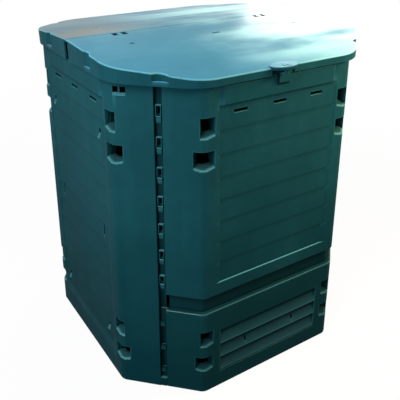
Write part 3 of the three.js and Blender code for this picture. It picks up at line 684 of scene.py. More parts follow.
class Relief:
    """Something moulded into a panel."""

    def region(self) -> Patch:
        """The patch of the chart that the relief is cut into."""
        raise NotImplementedError

    def grid(self) -> Grid:
        """Distances past the rail and heights at which the chart needs lines."""
        return [], []

    def outer(self, across: float, height: float) -> float:
        """How far the relief sinks the outer face at a point."""
        return 0.0

    def inner(self, across: float, height: float) -> float:
        """How far the relief moves the inner face away from the outer one."""
        return 0.0

    def opens(self, across: float, height: float) -> bool:
        """Whether the panel is open at a point."""
        return False

    def grime(self, across: float, height: float) -> float:
        """How much painted shade darkens the relief at a point, from 0 to 1."""
        return 0.0


@dataclass
class Opening(Relief):
    """A four-sided opening with rounded edges."""

    patch: Patch
    rim: float = RIM
    painted_darkening: float = 0.85

    def region(self) -> Patch:
        """The opening with its rounded edge."""
        return self.patch.grown(self.rim)

    def grid(self) -> Grid:
        """Lines of the rounded edge all round."""
        return self.patch.lines(self.rim)

    def outer(self, across: float, height: float) -> float:
        """The rounded edge of the outer face."""
        return rounding(self.patch.gap(across, height), self.rim) if self.rim else 0.0

    def inner(self, across: float, height: float) -> float:
        """The rounded edge of the inner face."""
        return -self.outer(across, height)

    def grime(self, across: float, height: float) -> float:
        """The painted shade inside the opening."""
        return self.painted_darkening if self.patch.gap(across, height) < SNAP else 0.0

    def opens(self, across: float, height: float) -> bool:
        """Open everywhere inside the patch."""
        return self.patch.gap(across, height) < 0


@dataclass
class Recess(Opening):
    """A blind recess with rounded edges."""

    # Painted shade on the recess's floor.
    painted_darkening: float = 1.0
    depth: float = 3.0
    side: float = 0.3

    def grid(self) -> Grid:
        """Lines of the rounded edge and of the recess's sides."""
        steps, levels = super().grid()
        more_steps, more_levels = self.patch.lines(-self.side, AT_END)
        return steps + more_steps, levels + more_levels

    def outer(self, across: float, height: float) -> float:
        """The recess below its rounded edge."""
        gap = self.patch.gap(across, height)
        if gap >= 0:
            return rounding(gap, self.rim)
        return self.rim + (self.depth - self.rim) * min(-gap / self.side, 1.0)

    def inner(self, across: float, height: float) -> float:
        """The inner face stays flat."""
        return 0.0

    def opens(self, across: float, height: float) -> bool:
        """A recess is closed."""
        return False


@dataclass
class PaintedShadow(Relief):
    """A painted shadow on one side of a panel's middle, which changes no shape."""

    left: float
    right: float
    foot: float
    top: float
    amount: float = 0.9
    edge: float = 0.3

    def region(self) -> Patch:
        """The painted shadow with its mirror image."""
        reach = max(abs(self.left), abs(self.right)) + self.edge
        return Patch(Rail.MIDDLE, -BEYOND, reach, self.foot - self.edge, self.top + self.edge)

    def grid(self) -> Grid:
        """Lines at both sides of the stain's upright edges and inside its level ones."""
        steps = [abs(side) + hand * self.edge for side in (self.left, self.right) for hand in (-1, 1)]
        return steps, [self.foot + self.edge, self.top - self.edge]

    def grime(self, across: float, height: float) -> float:
        """How dark the painted shadow is."""
        inside = self.left < across < self.right and self.foot < height < self.top
        return self.amount if inside else 0.0


@dataclass
class Raised(Relief):
    """A flat band that stands proud, with soft edges."""

    patch: Patch
    proud: float
    edge: float = 1.6
    side_edge: float = 6.0

    def region(self) -> Patch:
        """The band itself."""
        return self.patch

    def grid(self) -> Grid:
        """Lines of the soft edges at the far end, below and above."""
        steps = [self.patch.far - share * self.side_edge for share in SOFT_SHARES]
        return steps, lines(self.patch.foot, self.patch.top, -self.edge, SOFT_SHARES)

    def outer(self, across: float, height: float) -> float:
        """The proud face, falling away at its edges."""
        beside = (self.patch.far - self.patch.run(across, height)) * self.edge / self.side_edge
        upright = min(height - self.patch.foot, self.patch.top - height)
        return -self.proud * ramp(min(beside, upright), 0.0, self.edge)


@dataclass
class SunkenField(Relief):
    """A sunken field in boards that each overhang the one below."""

    patch: Patch
    foot_edge: float
    pitch: float = 54.2
    depth: float = 3.2
    foot_depth: float = 1.6
    edge: float = 12.0
    lap: float = 5.0
    shade: float = 9.0
    painted_darkening: float = 0.2
    backing: float = 2.0
    backing_share: float = 1.5
    margin_share: float = 1.6

    def region(self) -> Patch:
        """The field with its soft edges and the thicker skin behind it."""
        around = self.patch.grown(2 * self.edge)
        return replace(around, foot=min(around.foot, self.patch.foot - self.margin_share * self.foot_edge))

    def laps(self) -> list[float]:
        """Heights at which one board laps over the next."""
        count = math.ceil((self.patch.top - self.patch.foot) / self.pitch)
        return [self.patch.top - i * self.pitch for i in range(1, count)]

    def grid(self) -> Grid:
        """Lines of the laps and of the soft edges."""
        shares = (*SOFT_SHARES, self.backing_share)
        levels = [lap + share * self.lap for lap in self.laps() for share in (0.0, 0.5, 1.0)]
        levels += [lap - self.shade for lap in (*self.laps(), self.patch.top)]
        levels += [self.patch.foot - share * self.foot_edge for share in shares]
        levels += [self.patch.top, self.patch.top + self.lap]
        return [self.patch.far + share * self.edge for share in shares], levels

    def board_depth(self, height: float) -> float:
        """Depth of the boards at a height."""
        laps = self.laps()
        if not laps or not laps[-1] < height < self.patch.top:
            return self.depth
        drop = (self.patch.top - height) % self.pitch
        over = self.pitch - drop
        share = over / self.lap if over < self.lap else drop / (self.pitch - self.lap)
        return self.depth + (self.foot_depth - self.depth) * share

    def cover(self, across: float, height: float, start: float, end: float) -> float:
        """Share of the field's depth at a point, falling off from start to end outside it."""
        beside = self.patch.run(across, height) - self.patch.far
        below = (self.patch.foot - height) * self.edge / self.foot_edge
        above = (height - self.patch.top) * self.edge / self.lap
        return 1 - ramp(max(beside, below, above), start, end)

    def outer(self, across: float, height: float) -> float:
        """The boards, rising to the panel's face at the edges."""
        return self.board_depth(height) * self.cover(across, height, 0.0, self.edge)

    def grime(self, across: float, height: float) -> float:
        """The painted shade below each lap."""
        if self.patch.gap(across, height) > SNAP:
            return 0.0
        gaps = [lap - height for lap in (*self.laps(), self.patch.top) if lap > height - SNAP]
        return self.painted_darkening * (1 - ramp(min(gaps, default=self.shade), 0.0, self.shade))

    def inner(self, across: float, height: float) -> float:
        """The thicker skin behind the field."""
        return self.backing * self.cover(across, height, self.edge, self.backing_share * self.edge)


@dataclass
class Scoop(Relief):
    """A small lip below an opening that slopes outwards to its foot."""

    patch: Patch
    proud: float
    edge: float = 0.8

    def region(self) -> Patch:
        """The lip with its foot."""
        return self.patch.grown(self.edge)

    def grid(self) -> Grid:
        """Lines at both sides of the lip and where it starts and ends."""
        patch = self.patch
        return [patch.near, patch.far], [patch.foot - self.edge, patch.foot, patch.top]

    def outer(self, across: float, height: float) -> float:
        """The slope of the lip."""
        gap = self.patch.gap(across, height)
        if gap > self.edge:
            return 0.0
        span = self.patch.top - self.patch.foot
        slant = min(max((self.patch.top - height) / span, 0.0), 1.0)
        return -self.proud * slant * (1 - min(max(gap / self.edge, 0.0), 1.0))


@dataclass
class Vent(Relief):
    """A vent at a fold: a hole behind the face with a lip that slopes out below it."""

    height: float
    width: float
    shift: float
    hole: float = 18.0
    depth: float = 20.0
    lip_drop: float = 28.0
    lip_grid: float = 2.0
    lip_rise: float = 1.5
    back_margin: float = 2.0
    back_drop: float = 15.0
    side_wall: float = 0.5
    knee_share: float = 0.57
    knee_depth: float = 16.0
    housing: float = 4.0
    housing_edge: float = 0.5
    pocket_grid: float = 3.2
    shade: Pair = (1.0, 6.0)

    @property
    def half(self) -> float:
        """Half the width of the pocket."""
        return self.width / 2

    def region(self) -> Patch:
        """The pocket with its rounded edge and the housing behind it."""
        reach = self.half + self.housing + BORDER
        top = self.height + self.hole / 2
        return Patch(
            Rail.FOLD, -self.shift - reach, -self.shift + reach,
            top - self.hole - self.lip_drop - BORDER, top + self.housing + BORDER,
        )

    def grid(self) -> Grid:
        """Lines of the pocket's sides, of its hole and housing, and across and down its lip."""
        half, housing = self.half, self.half + self.housing
        sides = [half + share * RIM for share in RIM_SHARES]
        sides += [half - self.side_wall, housing, housing + self.housing_edge, half - self.back_margin]
        count = int((half - self.back_margin) / self.pocket_grid)
        sides += [i * self.pocket_grid for i in range(1, count + 1)]
        top, foot = self.height + self.hole / 2, self.height - self.hole / 2
        levels = [top + share * RIM for share in RIM_SHARES]
        levels += [top - self.side_wall, top + self.housing, top + self.housing + self.housing_edge]
        levels += [foot, foot - self.housing, top - self.back_margin, foot - self.back_drop]
        count = round(self.lip_drop / self.lip_grid)
        levels += [foot - self.lip_drop * i / count for i in range(1, count + 1)]
        return [-self.shift] + [hand * side - self.shift for side in sides for hand in (-1, 1)], levels

    def local(self, across: float, height: float) -> Triple:
        """A point's run past the fold, its distance inside the sides and its rise above the middle."""
        run = abs(across) - FORM.fold(height)
        return run, self.half - abs(run + self.shift), height - self.height

    def pocket_depth(self, rise: float) -> float:
        """Depth of the pocket behind the fold at a rise above the vent's middle."""
        share = max(-self.hole / 2 - rise, 0.0) / self.lip_drop
        if share < self.knee_share:
            return self.depth + (self.knee_depth - self.depth) * share / self.knee_share
        share = (share - self.knee_share) / (1 - self.knee_share)
        return self.knee_depth - (self.knee_depth + self.lip_rise) * share

    def bulge(self, run: float) -> Pair:
        """How far the face stands out at a run past the fold, and its slant's cosine."""
        half_angle = EIGHTH_TURN / 2
        angle = FORM.fold_angle(run) - half_angle
        radius = FORM.fold_radius
        if abs(run) < FORM.fold_margin:
            out = radius * math.cos(angle) - radius / math.cos(half_angle)
        else:
            out = -abs(run) * math.sin(half_angle)
        return out + self.shift * math.sin(half_angle), math.cos(angle)

    def outer(self, across: float, height: float) -> float:
        """The pocket with its rounded edge and the sloping lip."""
        run, beside, rise = self.local(across, height)
        inside = min(beside, self.hole / 2 - rise)
        if inside < -RIM or rise < -self.hole / 2 - self.lip_drop - BORDER:
            return 0.0
        out, slant = self.bulge(run)
        deep = max((out + self.pocket_depth(rise)) / slant, 0.0)
        if inside < 0:
            return min(rounding(-inside, RIM), deep)
        return min(deep, RIM) + max(deep - RIM, 0.0) * min(inside / self.side_wall, 1.0)

    def grime(self, across: float, height: float) -> float:
        """The painted shade inside the pocket."""
        return ramp(self.outer(across, height), *self.shade)

    def inner(self, across: float, height: float) -> float:
        """The housing behind the pocket."""
        _, beside, rise = self.local(across, height)
        inside = self.housing + min(beside, self.hole / 2 - rise)
        cover = min(max(inside / self.housing_edge + 1, 0.0), 1.0)
        return cover * max(self.pocket_depth(rise) + self.housing - FORM.wall, 0.0)

    def opens(self, across: float, height: float) -> bool:
        """Open at the back of the pocket."""
        _, beside, rise = self.local(across, height)
        high = -self.hole / 2 - self.back_drop < rise < self.hole / 2 - self.back_margin
        return high and beside > self.back_margin


@dataclass
class Louvres(Relief):
    """Sloping slats in a sunken field.

    Attributes:
        patch: the field.
        pitch: distance from one slat to the next.
        first: height of the first slat's foot above the field's.
        count: number of slats.
        depth: depth of the field.
        slat: heights above a slat's foot and depths along its profile.
    """

    patch: Patch
    pitch: float = 43.0
    first: float = 4.0
    count: int = 3
    depth: float = 6.0
    slat: Pairs = (
        (-0.6, 6.0), (0.0, -0.6), (0.5, -1.0), (2.4, -0.6), (4.0, 0.0), (30.0, 6.0),
    )
    edge: float = 1.5
    border: float = 4.0
    backing: float = 3.0
    painted_darkening: float = 0.75
    unshaded_share: float = 0.1

    def region(self) -> Patch:
        """The field of the slats with its edge and the thicker skin behind it."""
        return self.patch.grown(self.border + BORDER)

    def profile(self) -> list[Pair]:
        """The heights and depths of the slats' profile, from the foot up."""
        feet = [self.patch.foot + self.first + i * self.pitch for i in range(self.count)]
        slats = [(foot + rise, depth) for foot in feet for rise, depth in self.slat]
        return [(self.patch.foot, self.depth), *slats, (self.patch.top, self.depth)]

    def grid(self) -> Grid:
        """Lines of the profile and of the field's edges."""
        span = self.patch.foot, self.patch.top
        edges = lines(*span, self.edge, SOFT_SHARES) + lines(*span, self.border, AT_END)
        gaps = [share * self.edge for share in SOFT_SHARES] + [self.border]
        return [self.patch.far + gap for gap in gaps], [height for height, _ in self.profile()] + edges

    def outer(self, across: float, height: float) -> float:
        """The slats, cut off by the field's edge."""
        points = self.profile()
        place = min(max(height, self.patch.foot), self.patch.top)
        depth = self.depth
        for (low, start), (high, end) in zip(points, points[1:]):
            if low <= place <= high and high > low:
                depth = start + (end - start) * (place - low) / (high - low)
        return depth * (1 - ramp(self.patch.gap(across, height), 0.0, self.edge))

    def grime(self, across: float, height: float) -> float:
        """The painted shade behind the slats."""
        return self.painted_darkening * ramp(self.outer(across, height), self.depth * self.unshaded_share, self.depth)

    def inner(self, across: float, height: float) -> float:
        """The thicker skin behind the slats."""
        return self.backing * (1 - ramp(self.patch.gap(across, height), self.border - BORDER, self.border))


@dataclass
class JointEdge(Relief):
    """A panel's end at a corner joint: a return into the channel and its flange."""

    margin: float
    reach: float
    inset: float
    thickness: float = 4.0
    side: float = 0.3
    rim: float = 1.4
    painted_darkening: float = 0.8

    @property
    def back(self) -> float:
        """Where the back of the return starts, past the corner's middle."""
        return -self.margin - self.thickness

    def region(self) -> Patch:
        """The end of the panel over its whole height."""
        top = FORM.seam_height + BORDER
        return Patch(Rail.JOINT, self.back - 2 * BORDER, self.reach + BORDER, -BORDER, top)

    def grid(self) -> Grid:
        """Lines of the rounded end, of the return behind it and of the flange's end."""
        ends = [-self.margin - share * self.rim for share in RIM_SHARES]
        ends += [self.side - self.margin, self.back, self.back - self.side]
        return ends + [self.reach - share * RIM for share in RIM_SHARES[:-1]], []

    def outer(self, across: float, height: float) -> float:
        """The rounded end and the flange behind the channel."""
        run = abs(across) - FORM.joint(height)
        if run > -self.margin + SNAP:
            return self.inset + rounding(self.reach - run, RIM)
        return rounding(-self.margin - run, self.rim)

    def grime(self, across: float, height: float) -> float:
        """The painted shade in the channel."""
        return self.painted_darkening if abs(across) - FORM.joint(height) > SNAP - self.margin else 0.0

    def inner(self, across: float, height: float) -> float:
        """The back of the return and of the flange."""
        run = abs(across) - FORM.joint(height)
        deep = self.inset + self.thickness - FORM.wall
        return deep * ramp(run, self.back - self.side, self.back) - rounding(self.reach - run, RIM)


@dataclass
class Web(Relief):
    """The raised web of a hatch behind the wall above it, and the ledge that carries it."""

    ledge: float = 8.0
    inset: float = 12.5
    thickness: float = 4.0
    end_margin: float = 18.0
    rim: float = 1.8
    line: float = 0.1
    edge: float = 0.3
    clean_reach: float = 3.0
    foot_shade: float = 12.0
    foot_darkening: float = 0.95
    shade: float = 40.0
    painted_darkening: float = 0.4
    darkening_rise: float = 0.45
    top: float = FORM.ledge_height

    def region(self) -> Patch:
        """The hatch from its ledge upwards."""
        far = FORM.joint(0.0)
        return Patch(Rail.JOINT, -far - BORDER, far, self.top - self.ledge - BORDER, FORM.seam_height)

    def grid(self) -> Grid:
        """Lines of the web's end, of the ledge's rounded edge and of the web's foot."""
        rises = [-share * self.rim for share in RIM_SHARES]
        rises += [self.line, self.edge, self.foot_shade / 2, self.foot_shade, self.shade]
        rises += [-self.ledge, -self.ledge - self.edge]
        return [-self.end_margin], [self.top + rise for rise in rises]

    def grime(self, across: float, height: float) -> float:
        """The painted shade on the ledge and at the foot of the web."""
        rise = height - self.top
        if rise < self.line - SNAP:
            return 0.0
        foot = self.foot_darkening * (1 - ramp(rise, self.edge, self.foot_shade))
        return max(foot, self.painted_darkening + self.darkening_rise * ramp(rise, self.edge, self.shade))

    def outer(self, across: float, height: float) -> float:
        """The rounded edge of the ledge, and the web set back behind it."""
        if height > self.top + (self.line + self.edge) / 2:
            return self.inset
        if height > self.top + SNAP:
            return self.rim + self.clean_reach
        return rounding(self.top - height, self.rim)

    def inner(self, across: float, height: float) -> float:
        """The back of the ledge and of the web."""
        if Patch(Rail.JOINT, -self.end_margin, FORM.joint(0.0), 0, self.top).gap(across, height) <= SNAP:
            return 0.0
        start = self.top - self.ledge
        return (self.inset + self.thickness - FORM.wall) * ramp(height, start - self.edge, start)

    def opens(self, across: float, height: float) -> bool:
        """Nothing stands above the ledge outside the web's ends."""
        return height > self.top and abs(across) > FORM.joint(height) - self.end_margin


@dataclass
class Panel:
    """A wall or hatch drawn flat and folded into shape.

    Attributes:
        foot: its lower edge.
        top: its upper edge on the chart.
        end: its end at the corner joints.
        reliefs: what is moulded into it.
        crown: height of the upper edge at a distance along the panel, where it follows the lid.
    """

    foot: float
    top: float
    end: JointEdge
    reliefs: list[Relief]
    crown: Callable[[float], float] | None = None
    crown_start: float = 806.0
    crown_grid: float = 24.0
    fold_steps: int = 8
    fold_border: float = 3.0
    rim: float = 1.2
    wear_area: float = 120.0

    def score(self, mesh: Mesh, patch: Patch, steps: list[float], levels: list[float]) -> None:
        """Cuts a patch of the chart along upright and level lines.

        Args:
            mesh: the chart.
            patch: the patch, whose own border is cut too.
            steps: distances past the patch's rail.
            levels: heights above the ground.
        """
        place = FORM.rail(patch.rail, 0.0)
        upright = Vector((1, 0, -FORM.slope(patch.rail)))
        cuts = []
        for across, heights in (((patch.near, patch.far), (patch.foot, patch.top)), (steps, levels)):
            cuts += [(Vector((place + step, 0, 0)), upright) for step in across]
            cuts += [(UP * height, UP) for height in heights]
        faces = list(mesh.faces)
        for point, normal in cuts:
            faces = cut(mesh, [face for face in faces if patch.meets(face)], point, normal)

    def chart(self) -> Mesh:
        """Draws half the panel flat, scores and opens it, and mirrors it to the whole."""
        mesh = blank("wear", "grime")
        ends = [FORM.joint(height) + self.end.reach for height in (self.foot, self.top)]
        outline = [(0, self.foot), (ends[0], self.foot), (ends[1], self.top), (0, self.top)]
        mesh.faces.new([mesh.verts.new((across, 0, height)) for across, height in outline])
        whole = Patch(Rail.MIDDLE, -BEYOND, ends[0] + BORDER, self.foot, self.top)
        if self.crown:
            count = round(FORM.fold(0.0) / self.crown_grid)
            steps = [i * self.crown_grid for i in range(1, count)]
            self.score(mesh, replace(whole, foot=self.crown_start), steps, [])
        self.score(mesh, whole, [], lines(self.foot, self.top, -self.rim))
        margin = FORM.fold_margin
        bends = [2 * margin * i / self.fold_steps - margin for i in range(self.fold_steps + 1)]
        border = margin + self.fold_border
        self.score(mesh, Patch(Rail.FOLD, -border, border, self.foot, self.top), bends, [])
        for relief in self.moulded:
            self.score(mesh, relief.region(), *relief.grid())
        opened = [face for face in mesh.faces if self.opens(face.calc_center_median())]
        bmesh.ops.delete(mesh, geom=opened, context="FACES")
        bmesh.ops.mirror(
            mesh, geom=[*mesh.verts, *mesh.edges, *mesh.faces], matrix=Matrix(), merge_dist=MERGE, axis="X"
        )
        return mesh

    @property
    def moulded(self) -> list[Relief]:
        """Everything that is moulded into the panel, its end first."""
        return [self.end, *self.reliefs]

    def opens(self, middle: Vector) -> bool:
        """Whether a relief opens the panel at a point of the chart."""
        return any(relief.opens(middle.x, middle.z) for relief in self.reliefs)

    def outer(self, across: float, height: float) -> float:
        """Depth of the panel's outer face at a point."""
        edge = rounding(min(height - self.foot, self.top - height), self.rim)
        return edge + sum(relief.outer(across, height) for relief in self.moulded)

    def inner(self, across: float, height: float) -> float:
        """Depth of the panel's inner face at a point."""
        edge = rounding(min(height - self.foot, self.top - height), self.rim)
        extra = sum(relief.inner(across, height) for relief in self.moulded)
        return FORM.wall - edge + extra

    def grime(self, across: float, height: float) -> float:
        """How much painted shade darkens the outer face at a point."""
        return max(relief.grime(across, height) for relief in self.moulded)

    def crowned(self, across: float, height: float) -> float:
        """A height of the chart moved so that the upper edge follows the lid."""
        if not self.crown or height <= self.crown_start:
            return height
        share = (height - self.crown_start) / (self.top - self.crown_start)
        return self.crown_start + share * (self.crown(abs(across)) - self.crown_start)

    def solid(self) -> Mesh:
        """The closed panel, folded into the front of the bin."""
        mesh = self.chart()
        bmesh.ops.recalc_face_normals(mesh, faces=mesh.faces)
        made = bmesh.ops.extrude_face_region(mesh, geom=mesh.faces[:])["geom"]
        behind = {item for item in made if isinstance(item, Vert)}
        wear, grime = [mesh.verts.layers.float[name] for name in ("wear", "grime")]
        for vert in mesh.verts:
            across, height = vert.co.x, vert.co.z
            outer = self.outer(across, height)
            depth = self.inner(across, height) if vert in behind else outer
            # Painted shade: the inner face is fully dark, and the outer face is as dark as its reliefs paint
            # it.
            vert[grime] = 1.0 if vert in behind else self.grime(across, height)
            vert.co = FORM.folded(across, depth, self.crowned(across, height))
        bmesh.ops.recalc_face_normals(mesh, faces=mesh.faces)
        mesh.normal_update()
        # Small faces at bends get the edge layer: rubbing, which the material also lightens as a painted
        # highlight.
        for vert in mesh.verts:
            if vert[grime] or max(face.calc_area() for face in vert.link_faces) > self.wear_area:
                continue
            bends = [edge.calc_face_angle(0.0) for edge in vert.link_edges]
            vert[wear] = min(max(bends, default=0.0) / EIGHTH_TURN, 1.0)
        return mesh


def end_blocks(mesh: Mesh, spans: Pairs, bevel: float, painted_darkening: float = 0.0) -> None:
    """Adds a bevelled block at both ends of a panel.

    Args:
        mesh: the mesh that takes the blocks.
        spans: their span past the corner's middle, behind the face and in height.
        bevel: width of their bevels.
        painted_darkening: how much painted shade darkens them.
    """
    grime = mesh.verts.layers.float["grime"]
    sizes = Vector(tuple(high - low for low, high in spans))
    middle = Vector(tuple((low + high) / 2 for low, high in spans))
    for hand in (-1, 1):
        made = bmesh.ops.create_cube(mesh, size=1.0)["verts"]
        bmesh.ops.scale(mesh, verts=made, vec=sizes)
        faces = bevelled(mesh, {edge for vert in made for edge in vert.link_edges}, bevel)
        made = {vert for face in faces for vert in face.verts} | {vert for vert in made if vert.is_valid}
        for vert in made:
            place = vert.co + middle
            across = FORM.joint(place.z) + place.x
            vert.co = FORM.folded(hand * across, place.y, place.z)
            vert[grime] = painted_darkening


@dataclass
class Joinery:
    """The sizes that the walls, the hatches and their clips share."""

    shift: float = 3.0
    channel_half: float = 9.0
    flange_end: float = 2.0
    outer_inset: float = 10.0
    inner_inset: float = 14.3
    flange: float = 4.0
    eye_width: float = 8.6
    eye_height: float = 18.6
    clip_top: float = field(default_factory=lambda: box_of("corner_clip_front_left_1")[1].z)
    clip_head: float = 26.0
    clip_pitch: float = 70.0
    clip_count: int = sum(name.startswith("corner_clip_front_left") for name in frame["nodes"])
    hook_drop: float = 41.0
    hook_pitch: float = 75.0
    hook_count: int = 3
    hook_height: float = 12.0
    shank_height: float = 8.0
    shank_gap: float = 0.3
    eye_spare: float = 4.0
    hook_eye_width: float = 14.0
    window_width: float = 10.0
    window_margin: float = 3.0
    window_head_margin: float = 1.5
    foot_gap: float = 0.6
    foot_level: float = 1.0
    foot_height: float = 28.0
    foot_bevel: float = 0.8
    foot_darkening: float = 0.5

    def front_end(self) -> JointEdge:
        """The end of a front or rear panel."""
        margin = self.channel_half + self.shift
        return JointEdge(margin, self.channel_half - self.shift - self.flange_end, self.outer_inset)

    def side_end(self) -> JointEdge:
        """The end of a side panel."""
        margin = self.channel_half - self.shift
        return JointEdge(margin, self.channel_half + self.shift - self.flange_end, self.inner_inset)

    def hook_tops(self) -> list[float]:
        """The tops of the hatch's hooks from the highest down."""
        return [FORM.ledge_height - self.hook_drop - i * self.hook_pitch for i in range(self.hook_count)]

    def hook_windows(self) -> list[Relief]:
        """The blind windows in the hatch's flange between its hooks."""
        tops = self.hook_tops()
        spans = [
            (below + self.window_head_margin, above - self.hook_height - self.window_margin)
            for above, below in zip(tops, tops[1:])
        ]
        near = -self.shift - self.window_width / 2
        return [Recess(Patch(Rail.JOINT, near, near + self.window_width, *span)) for span in spans]

    def foot_block(self, mesh: Mesh) -> None:
        """Closes the foot of the channel beside a side panel."""
        across = (-self.side_end().margin - BORDER, self.front_end().margin - self.foot_gap)
        depths = (self.foot_gap, self.outer_inset - self.foot_gap)
        spans = (across, depths, (self.foot_level, self.foot_height))
        # The block takes painted shade, as the channel does.
        end_blocks(mesh, spans, self.foot_bevel, self.foot_darkening)

    def clip_eyes(self, place: float) -> list[Relief]:
        """The eyes for the clips' shanks, in a channel whose middle is at a place past the corner's."""
        middles = [self.clip_top - self.clip_head / 2 - i * self.clip_pitch for i in range(self.clip_count)]
        size = self.eye_width, self.eye_height
        return [Opening(Patch.about(Rail.JOINT, place, middle, *size), 0.0) for middle in middles]

    def hook_eyes(self, place: float) -> list[Relief]:
        """The tall eyes that let the hatch's hooks rise, in a channel as for the clips."""
        sides = (place - self.hook_eye_width / 2, place + self.hook_eye_width / 2)
        drop = self.hook_height / 2 + self.shank_height / 2 + self.shank_gap
        rise = self.shank_height + HATCH_TRAVEL + self.eye_spare
        feet = [top - drop for top in self.hook_tops()]
        return [Opening(Patch(Rail.JOINT, *sides, foot, foot + rise), 0.0) for foot in feet]


@dataclass
class WallRelief:
    """What the flat faces and the folds of the walls have in common."""

    band_margin: float = 43.2
    band_drop: float = 3.0
    band_height: float = 44.0
    band_proud: float = 3.0
    field_margin: float = 41.2
    slot_spacing: float = 107.0
    slot_width: float = 36.0
    slot_height: float = 7.0
    slot_drop: float = 63.0
    high_vents: Triples = ((74.0, 38.0, 10.0), (148.0, 52.0, 2.0))
    low_vents: Triples = ((65.0, 38.0, 9.0), (145.0, 50.0, 2.0))

    @property
    def field_half(self) -> float:
        """Half the width of the sunken fields."""
        return FORM.fold(FORM.skirt_foot) - self.field_margin

    @property
    def band_foot(self) -> float:
        """The lower edge of the rim band, where the sunken field starts."""
        return FORM.skirt_foot - self.band_drop - self.band_height

    def face(self, foot: float, foot_edge: float) -> list[Relief]:
        """The rim band, the boards below it and the slots through them.

        Args:
            foot: lower edge of the sunken field.
            foot_edge: width of the field's soft lower edge.

        Returns:
            The reliefs of a flat face.
        """
        band = FORM.fold(FORM.skirt_foot) - self.band_margin
        level = FORM.skirt_foot - self.slot_drop
        size = self.slot_width, self.slot_height
        slots = [
            Opening(Patch.about(Rail.MIDDLE, middle, level, *size)) for middle in (0.0, self.slot_spacing)
        ]
        field_patch = Patch(Rail.MIDDLE, -BEYOND, self.field_half, foot, self.band_foot)
        band_top = self.band_foot + self.band_height
        band_patch = replace(field_patch, far=band, foot=self.band_foot, top=band_top)
        return [SunkenField(field_patch, foot_edge), Raised(band_patch, self.band_proud), *slots]

    def vents(self, level: float, sizes: Triples) -> list[Relief]:
        """Vents at the folds, as drops below a level, widths and shifts."""
        return [Vent(level - drop, width, shift) for drop, width, shift in sizes]


